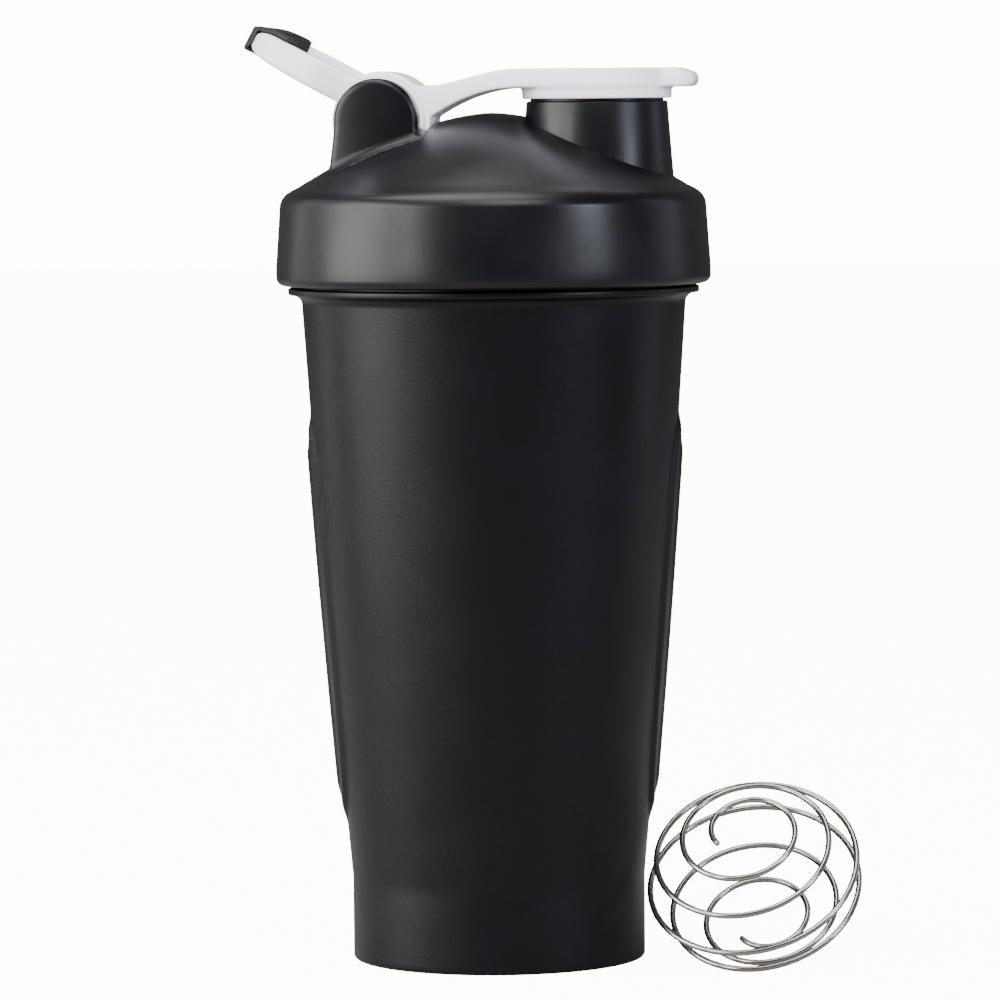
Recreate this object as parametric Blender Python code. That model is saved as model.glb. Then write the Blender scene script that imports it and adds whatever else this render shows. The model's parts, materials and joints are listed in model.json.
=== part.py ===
"""Protein shaker bottle: a screw-lidded cup with a flip cap, a carry loop and a loose whisk ball.

Frame: origin at the centre of the cup's underside, +Z up, +X towards the spout, and the
hinge of the cap and the loop along Y. All sizes are in metres and all angles in degrees.
"""

import math

import bmesh
import bpy
from mathutils import Matrix, Vector

# Cup
CUP_HEIGHT = 0.1720
BASE_RADIUS = 0.0338
BASE_EDGE = 0.0010
BASE_BAND = 0.0190
NECK_RADIUS = 0.0443
NECK_HEIGHT = 0.0166
BEAD_PROJECTION = 0.0031
BEAD_HEIGHT = 0.0028
CUP_WALL = 0.0020
CUP_FLOOR = 0.0026
BODY_SWELL = 0.0005
FOOT_WIDTH = 0.0040
FOOT_GROOVE_WIDTH = 0.0080
FOOT_GROOVE_DEPTH = 0.0010
GRIP_BOTTOM = 0.0310
GRIP_TOP = 0.1270
GRIP_HALF_ANGLE = 16.6
GRIP_RELIEF = 0.0009
GRIP_TURN = 7.5

# Screw thread
THREAD_PITCH = 0.0080
THREAD_HEIGHT = 0.0018
THREAD_ROOT = 0.0032
THREAD_CREST = 0.0018
THREAD_TURNS = 0.95
THREAD_RUNOUT = 30.0
THREAD_SINK = 0.0006
THREAD_EDGE_GAP = 0.0003

# Lid
LID_WALL = 0.0022
LID_SEAT_GAP = 0.0005
SKIRT_RADIUS = 0.0499
SKIRT_HEIGHT = 0.0190
SKIRT_DRAFT = 0.0010
LIP_ROUND = 0.0020
SHOULDER_WIDTH = 0.0042
SHOULDER_RISE = 0.0036
DOME_RISE = 0.0168
DOME_POWER = 1.65
NECK_CLEARANCE = 0.0026
SEAL_THICKNESS = 0.0020
SEAL_GAP = 0.0003
PLUG_RING_GAP = 0.0007
PLUG_RING_WALL = 0.0018
PLUG_RING_DEPTH = 0.0045

# Spout
SPOUT_X = 0.0243
SPOUT_STEP = 0.0009
SPOUT_DRAFT = 0.0015
SPOUT_SHOULDER_RISE = 0.0193
SPOUT_LIP_WALL = 0.0019
SPOUT_LIP_HEIGHT = 0.0025
SPOUT_BORE_RADIUS = 0.0134

# Hinge
HINGE_X = -0.0246
HINGE_RISE = 0.0151
PIN_RADIUS = 0.0024
RUNNING_GAP = 0.0003
EAR_RADIUS = 0.0097
EAR_THICKNESS = 0.0050
EAR_SPLAY = 7.0
EAR_EDGE = 0.0016
EYELET_RADIUS = 0.0104
EYELET_WIDTH = 0.0030
HUB_RADIUS = 0.0114
HUB_HALF_WIDTH = 0.0090
PIN_SOCKET = 0.0034
SADDLE_GAP = 0.0007
SADDLE_WALL = 0.0018

# Flip cap
CAP_PLATE_RIM = 0.0006
CAP_PLATE_TOP = 0.0115
CAP_PLATE_GAP = 0.0004
CAP_SKIRT_WALL = 0.0015
CAP_SKIRT_GAP = 0.0004
CAP_PLUG_GAP = 0.0004
CAP_PLUG_WALL = 0.0017
CAP_PLUG_DEPTH = 0.0056
CAP_PLUG_TAPER = 0.0006
CAP_HOLLOW = 0.0024
CAP_TAB_LENGTH = 0.0054
CAP_TAB_HALF_WIDTH = 0.0085
CAP_TAB_THICKNESS = 0.0036
CAP_TAB_DROP = 0.0008
CAP_ARM_ROOT_TOP = 0.0080
CAP_ARM_ROOT_BOTTOM = 0.0012
CAP_ARM_ROOT_X = 0.0120

# Carry loop
LOOP_LEAN = 28.0
LOOP_REACH = 0.0360
LOOP_HALF_WIDTH = 0.0155
LOOP_BAND = 0.0030
LOOP_TOP_ROOT = 0.0067
LOOP_TOP_TIP = 0.0060
LOOP_BOTTOM_ROOT = -0.0010
LOOP_BOTTOM_TIP = 0.0000
LOOP_STRAIGHT = 0.0100
LOOP_WIDEN_END = 0.0200

# Loop grip
GRIP_GAP = 0.0003
GRIP_SKIN = 0.0010
GRIP_START = 0.0258
GRIP_WRAP_HALF_WIDTH = 0.0040

# Whisk ball
WHISK_RADIUS = 0.0255
WHISK_HALF_HEIGHT = 0.0171
WHISK_WIRE_RADIUS = 0.0007
WHISK_TURNS = 5.992
WHISK_PHASE = 312.5
WHISK_POLE_ANGLE = 16.9
WHISK_BUNCHING = 7.0
WHISK_LEAN = 41.3
WHISK_LEAN_TOWARDS = -97.5
WHISK_GAP = 0.0028
WHISK_BEARING = -12.1

# Facets
ROUND_STEPS = 64
SMALL_STEPS = 32
CORNER_STEPS = 3
THREAD_STEP = 12.0

# Places that follow from the sizes
RIM_Z = CUP_HEIGHT
BEAD_RADIUS = NECK_RADIUS + BEAD_PROJECTION
BEAD_TOP_Z = RIM_Z - NECK_HEIGHT
BEAD_BOTTOM_Z = BEAD_TOP_Z - BEAD_HEIGHT
LID_BOTTOM_Z = BEAD_TOP_Z + LID_SEAT_GAP
SEAL_BOTTOM_Z = RIM_Z + SEAL_GAP
SEAL_TOP_Z = SEAL_BOTTOM_Z + SEAL_THICKNESS
LID_CEILING_Z = SEAL_TOP_Z + SEAL_GAP
SHOULDER_Z = max(LID_BOTTOM_Z + SKIRT_HEIGHT, LID_CEILING_Z + SEAL_GAP)
DOME_Z = SHOULDER_Z + SHOULDER_RISE
SKIRT_INNER_RADIUS = NECK_RADIUS + NECK_CLEARANCE
LID_THREAD_Z = LID_BOTTOM_Z + THREAD_ROOT / 2 + THREAD_EDGE_GAP
CUP_THREAD_Z = LID_THREAD_Z + THREAD_PITCH / 2
SKIRT_OUTER_RADIUS = max(SKIRT_RADIUS, SKIRT_INNER_RADIUS + LID_WALL + SKIRT_DRAFT)
DOME_RADIUS = SKIRT_OUTER_RADIUS - SKIRT_DRAFT - SHOULDER_WIDTH
CUP_INNER_RADIUS = NECK_RADIUS - CUP_WALL
PLUG_RING_OUTER = CUP_INNER_RADIUS - PLUG_RING_GAP
PLUG_RING_INNER = PLUG_RING_OUTER - PLUG_RING_WALL
HINGE_Z = DOME_Z + HINGE_RISE
HINGE_POINT = Vector((HINGE_X, 0, HINGE_Z))
SPOUT_SHOULDER_Z = DOME_Z + SPOUT_SHOULDER_RISE
SPOUT_LIP_Z = SPOUT_SHOULDER_Z + SPOUT_LIP_HEIGHT
SPOUT_LIP_RADIUS = SPOUT_BORE_RADIUS + SPOUT_LIP_WALL
SPOUT_TOP_RADIUS = SPOUT_LIP_RADIUS + SPOUT_STEP
CAP_PLATE_RADIUS = SPOUT_LIP_RADIUS + CAP_SKIRT_GAP + CAP_SKIRT_WALL + CAP_PLATE_RIM
BORE_RADIUS = PIN_RADIUS + RUNNING_GAP
EYELET_INNER_Y = HUB_HALF_WIDTH + RUNNING_GAP
EYELET_OUTER_Y = EYELET_INNER_Y + EYELET_WIDTH
EAR_INNER_Y = EYELET_OUTER_Y + RUNNING_GAP
EAR_OUTER_Y = EAR_INNER_Y + EAR_THICKNESS
SADDLE_RADIUS = HUB_RADIUS + SADDLE_GAP
CAP_UNDERSIDE_Z = SPOUT_LIP_Z + CAP_PLATE_GAP
CAP_TOP_Z = max(HINGE_Z + CAP_PLATE_TOP, CAP_UNDERSIDE_Z + CAP_HOLLOW + LID_WALL)
WHISK_DISTANCE = BASE_RADIUS + WHISK_RADIUS + WHISK_GAP
WHISK_X = WHISK_DISTANCE * math.cos(math.radians(WHISK_BEARING))
WHISK_Y = WHISK_DISTANCE * math.sin(math.radians(WHISK_BEARING))


def clear_scene():
    """Remove every object of the starting scene."""
    for obj in list(bpy.data.objects):
        bpy.data.objects.remove(obj, do_unlink=True)


def plastic(name, colour, roughness, metallic=0.0):
    """Return a Principled material."""
    material = bpy.data.materials.new(name)
    material.use_nodes = True
    shader = material.node_tree.nodes["Principled BSDF"]
    shader.inputs["Base Color"].default_value = (*colour, 1.0)
    shader.inputs["Roughness"].default_value = roughness
    shader.inputs["Metallic"].default_value = metallic
    return material


def add_piece(name, bm, material, origin=Vector((0, 0, 0)), sharp=40.0):
    """Turn a bmesh into a shaded object whose origin lies at the given point."""
    bmesh.ops.remove_doubles(bm, verts=bm.verts, dist=1e-6)
    bmesh.ops.recalc_face_normals(bm, faces=bm.faces)
    bmesh.ops.translate(bm, verts=bm.verts, vec=-origin)
    mesh = bpy.data.meshes.new(name)
    bm.to_mesh(mesh)
    bm.free()
    mesh.shade_smooth()
    mesh.set_sharp_from_angle(angle=math.radians(sharp))
    obj = bpy.data.objects.new(name, mesh)
    obj.location = origin
    bpy.context.scene.collection.objects.link(obj)
    if material:
        mesh.materials.append(material)
    return obj


def add_tool(name, bm):
    """Make a helper that shapes a piece and is not a piece itself."""
    obj = add_piece(name, bm, None)
    obj.hide_render = True
    obj.display_type = "WIRE"
    return obj


def shape_with(obj, operation, tool):
    """Join a helper to a piece, or cut it away."""
    modifier = obj.modifiers.new(f"{operation} {tool.name}", "BOOLEAN")
    modifier.operation = operation
    modifier.solver = "EXACT"
    modifier.object = tool


def turned(profile, steps=ROUND_STEPS, centre=(0, 0, 0)):
    """Spin a closed outline of (radius, height) points about the vertical axis."""
    bm = bmesh.new()
    ring = [bm.verts.new((r, 0, z)) for r, z in profile]
    edges = [bm.edges.new(pair) for pair in zip(ring, ring[1:] + ring[:1])]
    edges = [edge for edge in edges if any(v.co.x > 1e-7 for v in edge.verts)]
    bmesh.ops.spin(
        bm, geom=ring + edges, cent=(0, 0, 0), axis=(0, 0, 1), dvec=(0, 0, 0),
        angle=math.tau, steps=steps, use_merge=True, use_duplicate=False,
    )
    loose = [edge for edge in bm.edges if not edge.link_faces]
    bmesh.ops.delete(bm, geom=loose, context="EDGES")
    bmesh.ops.translate(bm, verts=bm.verts, vec=centre)
    return bm


def prism(outline, low, high, axis="Z"):
    """Extrude a closed outline along Z, or an outline of (x, z) points along Y."""
    bm = bmesh.new()
    if axis == "Z":
        points = [(x, y, low) for x, y in outline]
        way = Vector((0, 0, high - low))
    else:
        points = [(x, low, z) for x, z in outline]
        way = Vector((0, high - low, 0))
    face = bm.faces.new([bm.verts.new(p) for p in points])
    grown = bmesh.ops.extrude_face_region(bm, geom=[face])
    moved = [v for v in grown["geom"] if isinstance(v, bmesh.types.BMVert)]
    bmesh.ops.translate(bm, verts=moved, vec=way)
    bm.faces.ensure_lookup_table()
    bmesh.ops.recalc_face_normals(bm, faces=bm.faces)
    return bm


def drum(radius, low_y, high_y, centre=HINGE_POINT, steps=SMALL_STEPS):
    """Make a cylinder along Y about the hinge."""
    outline = arc(centre.x, centre.z, radius, 0, 360, steps)[:-1]
    return prism(outline, low_y, high_y, "Y")


def arc(x, y, radius, start, end, steps):
    """Return points on an arc, ends included, with angles in degrees."""
    angles = [math.radians(start + (end - start) * i / steps) for i in range(steps + 1)]
    return [(x + radius * math.cos(a), y + radius * math.sin(a)) for a in angles]


def ease(share):
    """Rise smoothly from 0 to 1 as the share does."""
    share = min(max(share, 0.0), 1.0)
    return share * share * (3 - 2 * share)


def sweep(stations):
    """Join equal rings of points into a tube with closed ends."""
    bm = bmesh.new()
    rings = [[bm.verts.new(point) for point in station] for station in stations]
    for ring, following in zip(rings, rings[1:]):
        for i in range(len(ring)):
            j = (i + 1) % len(ring)
            bm.faces.new((ring[i], ring[j], following[j], following[i]))
    bm.faces.new(rings[0])
    bm.faces.new(rings[-1])
    bmesh.ops.recalc_face_normals(bm, faces=bm.faces)
    return bm


def body_radius(z):
    """Outside radius of the cup between its foot band and the bead."""
    share = min(max((z - BASE_BAND) / (BEAD_BOTTOM_Z - BASE_BAND), 0.0), 1.0)
    swell = BODY_SWELL * math.sin(math.pi * share)
    return BASE_RADIUS + (NECK_RADIUS - BASE_RADIUS) * share + swell


def grip_relief(angle, z):
    """Height of the two long lens-shaped grip panels on the cup's sides."""
    middle = (GRIP_TOP + GRIP_BOTTOM) / 2
    along = (z - middle) / ((GRIP_TOP - GRIP_BOTTOM) / 2)
    if abs(along) >= 1:
        return 0.0
    turn = (angle - GRIP_TURN + 90) % 180 - 90
    across = turn / (GRIP_HALF_ANGLE * math.sqrt(1 - along**4))
    return GRIP_RELIEF * ease(2.2 * (1 - abs(across))) * ease(2.5 * (1 - abs(along)))


def helical_ridge(root_radius, outwards, start_z):
    """Make one trapezoid thread ridge that tapers into its wall at both ends."""
    count = round(360 * THREAD_TURNS / THREAD_STEP)
    way = 1 if outwards else -1
    stations = []
    for i in range(count + 1):
        angle = i * THREAD_STEP
        fade = min(angle, count * THREAD_STEP - angle) / THREAD_RUNOUT
        height = THREAD_HEIGHT * ease(fade) - THREAD_SINK / 2 * (1 - ease(fade))
        z = start_z + THREAD_PITCH * angle / 360
        inner = root_radius - way * THREAD_SINK
        outer = root_radius + way * height
        flat = math.radians(angle)
        across = ((inner, -THREAD_ROOT), (outer, -THREAD_CREST),
                  (outer, THREAD_CREST), (inner, THREAD_ROOT))
        stations.append(
            [(r * math.cos(flat), r * math.sin(flat), z + w / 2) for r, w in across]
        )
    return sweep(stations)


def dome_height(radius):
    """Height of the dome's outside above its edge."""
    return DOME_RISE * (1 - (radius / DOME_RADIUS) ** DOME_POWER)


def dome_inner_z(radius):
    """Height of the dome's underside, one wall below its outside."""
    slope = DOME_RISE * DOME_POWER / DOME_RADIUS * (radius / DOME_RADIUS) ** (DOME_POWER - 1)
    return DOME_Z + dome_height(radius) - LID_WALL * math.hypot(1, slope)


def make_cup(material):
    """Build the cup as one shell, then add its thread."""
    groove_outer = BASE_RADIUS - FOOT_WIDTH
    groove_inner = groove_outer - FOOT_GROOVE_WIDTH
    body_rows = 12
    outside = [(0, 0), (groove_inner, 0), (groove_inner + FOOT_GROOVE_DEPTH, FOOT_GROOVE_DEPTH)]
    outside += [(groove_outer - FOOT_GROOVE_DEPTH, FOOT_GROOVE_DEPTH), (groove_outer, 0)]
    outside += arc(BASE_RADIUS - BASE_EDGE, BASE_EDGE, BASE_EDGE, -90, 0, CORNER_STEPS)
    for i in range(body_rows + 1):
        z = BASE_BAND + (BEAD_BOTTOM_Z - BASE_BAND) * i / body_rows
        outside.append((body_radius(z), z))
    outside += [(BEAD_RADIUS, BEAD_BOTTOM_Z), (BEAD_RADIUS, BEAD_TOP_Z)]
    outside += [(NECK_RADIUS, BEAD_TOP_Z)]
    rim = CUP_WALL / 2
    outside += arc(NECK_RADIUS - rim, RIM_Z - rim, rim, 0, 180, 2 * CORNER_STEPS)
    inner_rows = 5
    inside = []
    for i in range(inner_rows + 1):
        z = BEAD_BOTTOM_Z + (BASE_BAND - BEAD_BOTTOM_Z) * i / inner_rows
        inside.append((body_radius(z) - CUP_WALL, z))
    corner = 3 * CUP_WALL
    inner_base = BASE_RADIUS - CUP_WALL
    inside += arc(inner_base - corner, CUP_FLOOR + corner, corner, 0, -90, CORNER_STEPS)
    inside += [(0, CUP_FLOOR)]
    bm = turned(outside + inside)
    for vert in bm.verts:
        flat = vert.co.xy.length
        if flat > body_radius(vert.co.z) - CUP_WALL / 2 and vert.co.z < BEAD_BOTTOM_Z:
            angle = math.degrees(math.atan2(vert.co.y, vert.co.x))
            grown = 1 + grip_relief(angle, vert.co.z) / flat
            vert.co.x *= grown
            vert.co.y *= grown
    cup = add_piece("cup", bm, material)
    ridge = helical_ridge(NECK_RADIUS, True, CUP_THREAD_Z)
    shape_with(cup, "UNION", add_tool("cup_thread", ridge))
    return cup


def lid_outside():
    """Outline of the lid filled solid, from its lip up to the top of the dome."""
    lip = SKIRT_OUTER_RADIUS - LIP_ROUND
    outline = [(0, LID_BOTTOM_Z)]
    outline += arc(lip, LID_BOTTOM_Z + LIP_ROUND, LIP_ROUND, -90, 0, CORNER_STEPS)
    outline += [(SKIRT_OUTER_RADIUS - SKIRT_DRAFT, SHOULDER_Z)]
    outline += [(DOME_RADIUS + SHOULDER_WIDTH * 0.68, DOME_Z - SHOULDER_RISE * 0.36)]
    rows = 9
    radii = [DOME_RADIUS * (1 - i / rows) for i in range(rows + 1)]
    return outline + [(r, DOME_Z + dome_height(r)) for r in radii]


def lid_cavity():
    """Outline of the space inside the lid, with the ring that plugs the cup's mouth left out."""
    below = LID_BOTTOM_Z - LID_WALL
    outline = [(0, below), (SKIRT_INNER_RADIUS, below), (SKIRT_INNER_RADIUS, LID_CEILING_Z)]
    outline += [(PLUG_RING_OUTER, LID_CEILING_Z), (PLUG_RING_OUTER, RIM_Z - PLUG_RING_DEPTH)]
    outline += [(PLUG_RING_INNER, RIM_Z - PLUG_RING_DEPTH)]
    rows = 8
    radii = [PLUG_RING_INNER * (1 - i / rows) for i in range(rows + 1)]
    return outline + [(r, dome_inner_z(r)) for r in radii]


def ear_outline():
    """Side view of a hinge ear: a round head on splayed sides that run down into the dome."""
    foot = LID_CEILING_Z
    head = arc(HINGE_X, HINGE_Z, EAR_RADIUS, -EAR_SPLAY, 180 + EAR_SPLAY, 16)
    drop = head[0][1] - foot
    spread = drop * math.tan(math.radians(EAR_SPLAY))
    return [(head[0][0] + spread, foot)] + head + [(head[-1][0] - spread, foot)]


def make_ear(side):
    """Build one ear on the given side of the hinge, its outer edge rounded."""
    low, high = sorted((side * EAR_INNER_Y, side * EAR_OUTER_Y))
    bm = prism(ear_outline(), low, high, "Y")
    outer = side * EAR_OUTER_Y
    edges = [e for e in bm.edges if all(abs(v.co.y - outer) < 1e-6 for v in e.verts)]
    bmesh.ops.bevel(
        bm, geom=edges, offset=EAR_EDGE, segments=2, profile=0.5,
        affect="EDGES", clamp_overlap=True, material=-1,
    )
    return bm


def spout_outline():
    """Outline of the spout filled solid, about its own axis."""
    low = LID_CEILING_Z
    run = SPOUT_SHOULDER_Z - low
    full = SPOUT_SHOULDER_Z - DOME_Z
    base = SPOUT_TOP_RADIUS + SPOUT_DRAFT * run / full
    return [(0, low), (base, low), (SPOUT_TOP_RADIUS, SPOUT_SHOULDER_Z),
            (SPOUT_LIP_RADIUS, SPOUT_SHOULDER_Z), (SPOUT_LIP_RADIUS, SPOUT_LIP_Z), (0, SPOUT_LIP_Z)]


def make_lid(material):
    """Build the lid as a filled solid and hollow it from below."""
    lid = add_piece("lid", turned(lid_outside()), material)
    shape_with(lid, "UNION", add_tool("spout_solid", turned(
        spout_outline(), SMALL_STEPS, (SPOUT_X, 0, 0))))
    for side, name in ((-1, "ear_near"), (1, "ear_far")):
        shape_with(lid, "UNION", add_tool(name, make_ear(side)))
    cavity = add_tool("lid_cavity", turned(lid_cavity()))
    guard_y = EAR_INNER_Y + SADDLE_WALL
    guard = add_tool("saddle_guard", drum(SADDLE_RADIUS + SADDLE_WALL, -guard_y, guard_y))
    shape_with(cavity, "DIFFERENCE", guard)
    shape_with(lid, "DIFFERENCE", cavity)
    saddle = add_tool("saddle", drum(SADDLE_RADIUS, -EAR_INNER_Y, EAR_INNER_Y))
    shape_with(lid, "DIFFERENCE", saddle)
    bore = [(0, LID_BOTTOM_Z), (SPOUT_BORE_RADIUS, LID_BOTTOM_Z),
            (SPOUT_BORE_RADIUS, SPOUT_LIP_Z + LID_WALL), (0, SPOUT_LIP_Z + LID_WALL)]
    shape_with(lid, "DIFFERENCE", add_tool("spout_bore", turned(
        bore, SMALL_STEPS, (SPOUT_X, 0, 0))))
    sockets = drum(BORE_RADIUS, -EAR_INNER_Y - PIN_SOCKET, EAR_OUTER_Y + LID_WALL, steps=16)
    shape_with(lid, "DIFFERENCE", add_tool("pin_bore", sockets))
    ridge = helical_ridge(SKIRT_INNER_RADIUS, False, LID_THREAD_Z)
    shape_with(lid, "UNION", add_tool("lid_thread", ridge))
    return lid


def make_lid_seal(material):
    """Build the flat washer between the cup's rim and the lid."""
    inner = PLUG_RING_OUTER + SEAL_GAP
    outer = SKIRT_INNER_RADIUS - SEAL_GAP
    outline = [(inner, SEAL_BOTTOM_Z), (outer, SEAL_BOTTOM_Z), (outer, SEAL_TOP_Z),
               (inner, SEAL_TOP_Z)]
    return add_piece("lid_seal", turned(outline), material)


def make_hinge_pin(material):
    """Build the pin that the cap and the loop turn on."""
    low = -EAR_INNER_Y - PIN_SOCKET + RUNNING_GAP
    bm = drum(PIN_RADIUS, low, EAR_OUTER_Y - RUNNING_GAP, steps=16)
    return add_piece("hinge_pin", bm, material, HINGE_POINT)


def cap_side_outline():
    """Side view of the cap's arm, plate and thumb tab."""
    start = HINGE_X + CAP_ARM_ROOT_X
    plate_start = SPOUT_X - CAP_PLATE_RADIUS
    plate_end = SPOUT_X + CAP_PLATE_RADIUS
    tab_end = plate_end + CAP_TAB_LENGTH
    rows = 6
    root_low = HINGE_Z + CAP_ARM_ROOT_BOTTOM
    root_high = HINGE_Z + CAP_ARM_ROOT_TOP
    low = [(HINGE_X, root_low)]
    high = [(HINGE_X, root_high)]
    for i in range(rows + 1):
        share = i / rows
        x = start + (plate_start - start) * share
        low.append((x, root_low + (CAP_UNDERSIDE_Z - root_low) * (1 - (1 - share) ** 2)))
        high.append((x, root_high + (CAP_TOP_Z - root_high) * ease(0.1 + 0.9 * share)))
    half = CAP_TAB_THICKNESS / 2
    nose_z = CAP_TOP_Z - half - CAP_TAB_DROP
    low.append((plate_end, CAP_UNDERSIDE_Z))
    tip = arc(tab_end - half, nose_z, half, -90, 70, 6)
    tip.append((plate_end + CAP_TAB_LENGTH / 4, CAP_TOP_Z))
    return low + tip + high[::-1]


def cap_plan_outline():
    """Top view of the cap: hub, widening arm, round plate and thumb tab."""
    flare_x = SPOUT_X - CAP_PLATE_RADIUS * math.cos(math.radians(50))
    flare_y = CAP_PLATE_RADIUS * math.sin(math.radians(50))
    waist_x = HINGE_X + HUB_RADIUS
    rows = 5
    arm = []
    for i in range(rows):
        share = i / rows
        y = HUB_HALF_WIDTH + (flare_y - HUB_HALF_WIDTH) * share**1.6
        arm.append((waist_x + (flare_x - waist_x) * share, y))
    tab_angle = math.degrees(math.asin(CAP_TAB_HALF_WIDTH / CAP_PLATE_RADIUS))
    rim = arc(SPOUT_X, 0, CAP_PLATE_RADIUS, 130, tab_angle, 12)
    tab_end = SPOUT_X + CAP_PLATE_RADIUS + CAP_TAB_LENGTH
    corner = CAP_TAB_HALF_WIDTH / 2
    tip = arc(tab_end - corner, CAP_TAB_HALF_WIDTH - corner, corner, 90, 0, CORNER_STEPS)
    upper = [(HINGE_X, HUB_HALF_WIDTH)] + arm + rim + tip
    return upper + [(x, -y) for x, y in upper[::-1]]


def make_flip_cap(material):
    """Build the cap on its hinge hub, with the skirt and the plug that close the spout."""
    side = prism(cap_side_outline(), -CAP_PLATE_RADIUS * 2, CAP_PLATE_RADIUS * 2, "Y")
    cap = add_piece("flip_cap", side, material, HINGE_POINT)
    plan = prism(cap_plan_outline(), HINGE_Z - HUB_RADIUS, CAP_TOP_Z + HUB_RADIUS)
    shape_with(cap, "INTERSECT", add_tool("cap_plan", plan))
    hub = drum(HUB_RADIUS, -HUB_HALF_WIDTH, HUB_HALF_WIDTH)
    shape_with(cap, "UNION", add_tool("cap_hub", hub))
    skirt_inner = SPOUT_LIP_RADIUS + CAP_SKIRT_GAP
    skirt_low = SPOUT_SHOULDER_Z + RUNNING_GAP
    joined = CAP_UNDERSIDE_Z + CAP_HOLLOW / 2
    skirt = [(skirt_inner, skirt_low), (skirt_inner + CAP_SKIRT_WALL, skirt_low),
             (skirt_inner + CAP_SKIRT_WALL, joined), (skirt_inner, joined)]
    spot = (SPOUT_X, 0, 0)
    shape_with(cap, "UNION", add_tool("cap_skirt", turned(skirt, 48, spot)))
    plug_outer = SPOUT_BORE_RADIUS - CAP_PLUG_GAP
    plug_inner = plug_outer - CAP_PLUG_WALL
    plug_low = CAP_UNDERSIDE_Z - CAP_PLUG_DEPTH
    plug = [(plug_inner, plug_low), (plug_outer - CAP_PLUG_TAPER, plug_low),
            (plug_outer, CAP_UNDERSIDE_Z - CAP_PLUG_DEPTH / 4), (plug_outer, joined),
            (plug_inner, joined)]
    shape_with(cap, "UNION", add_tool("cap_plug", turned(plug, SMALL_STEPS, spot)))
    hollow = [(0, plug_low - CAP_HOLLOW), (plug_inner, plug_low - CAP_HOLLOW),
              (plug_inner, CAP_UNDERSIDE_Z + CAP_HOLLOW), (0, CAP_UNDERSIDE_Z + CAP_HOLLOW)]
    shape_with(cap, "DIFFERENCE", add_tool("cap_hollow", turned(hollow, SMALL_STEPS, spot)))
    bore = drum(BORE_RADIUS, -EAR_INNER_Y, EAR_INNER_Y, steps=16)
    shape_with(cap, "DIFFERENCE", add_tool("cap_bore", bore))
    return cap


def loop_path():
    """Middle line of the loop's band as (reach, sideways) points, from one arm to the other."""
    arm_y = (EYELET_INNER_Y + EYELET_OUTER_Y) / 2
    wide_y = LOOP_HALF_WIDTH - LOOP_BAND / 2
    reach = LOOP_REACH - LOOP_BAND / 2
    half = [(0, arm_y), (LOOP_STRAIGHT, arm_y)]
    for i in range(1, 5):
        share = i / 5
        x = LOOP_STRAIGHT + (LOOP_WIDEN_END - LOOP_STRAIGHT) * share
        half.append((x, arm_y + (wide_y - arm_y) * ease(share)))
    bend = reach - LOOP_WIDEN_END
    for i in range(9):
        angle = math.radians(90 * i / 9)
        half.append((LOOP_WIDEN_END + bend * math.sin(angle), wide_y * math.cos(angle)))
    return half + [(reach, 0)] + [(x, -y) for x, y in half[::-1]]


def loop_point(reach, sideways, height):
    """Place a point given along, across and above the loop's own plane."""
    lean = math.radians(LOOP_LEAN)
    x = HINGE_X - reach * math.cos(lean) + height * math.sin(lean)
    z = HINGE_Z + reach * math.sin(lean) + height * math.cos(lean)
    return (x, sideways, z)


def band(path, section):
    """Sweep a four-cornered section, given by a function of place, along the loop's path."""
    stations = []
    for i, (x, y) in enumerate(path):
        before = Vector(path[max(i - 1, 0)])
        after = Vector(path[min(i + 1, len(path) - 1)])
        along = (after - before).normalized()
        outer, inner, low, high = section(x, y)
        across = Vector((along.y, -along.x))
        corners = ((-outer, low), (inner, low), (inner, high), (-outer, high))
        stations.append([
            loop_point(x + across.x * side, y + across.y * side, height)
            for side, height in corners
        ])
    return sweep(stations)


def band_edges(reach):
    """Lower and upper edge of the loop's band at this reach."""
    share = reach / LOOP_REACH
    low = LOOP_BOTTOM_ROOT + (LOOP_BOTTOM_TIP - LOOP_BOTTOM_ROOT) * share
    high = LOOP_TOP_ROOT + (LOOP_TOP_TIP - LOOP_TOP_ROOT) * share
    return low, high


def make_carry_loop(material):
    """Build the loop's band and join its two eyelets."""
    half = LOOP_BAND / 2
    bm = band(loop_path(), lambda x, y: (half, half, *band_edges(x)))
    loop = add_piece("carry_loop", bm, material, HINGE_POINT)
    for side in (-1, 1):
        low, high = sorted((side * EYELET_INNER_Y, side * EYELET_OUTER_Y))
        shape_with(loop, "UNION", add_tool(f"eyelet_{side + 2}", drum(EYELET_RADIUS, low, high)))
    bore = drum(BORE_RADIUS, -EAR_INNER_Y, EAR_INNER_Y, steps=16)
    shape_with(loop, "DIFFERENCE", add_tool("loop_bore", bore))
    return loop


def make_loop_grip(material):
    """Build the soft sleeve: a strip along the arms that wraps the loop's end all round."""
    half = LOOP_BAND / 2
    skin = GRIP_GAP + GRIP_SKIN
    path = [point for point in loop_path() if point[0] > GRIP_START]

    def sleeve(x, y):
        low, high = band_edges(x)
        wrap = ease(1.5 - abs(y) / GRIP_WRAP_HALF_WIDTH)
        outer = half + skin * wrap
        below = -skin * wrap + half * (1 - wrap)
        return outer, half + skin, low + below, high + skin

    def clearance(x, y):
        low, high = band_edges(x)
        return half + GRIP_GAP, half + GRIP_GAP, low - GRIP_GAP, high + GRIP_GAP

    grip = add_piece("loop_grip", band(path, sleeve), material, HINGE_POINT)
    long_path = [point for point in loop_path() if point[0] > LOOP_STRAIGHT]
    shape_with(grip, "DIFFERENCE", add_tool("grip_clearance", band(long_path, clearance)))
    return grip


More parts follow.
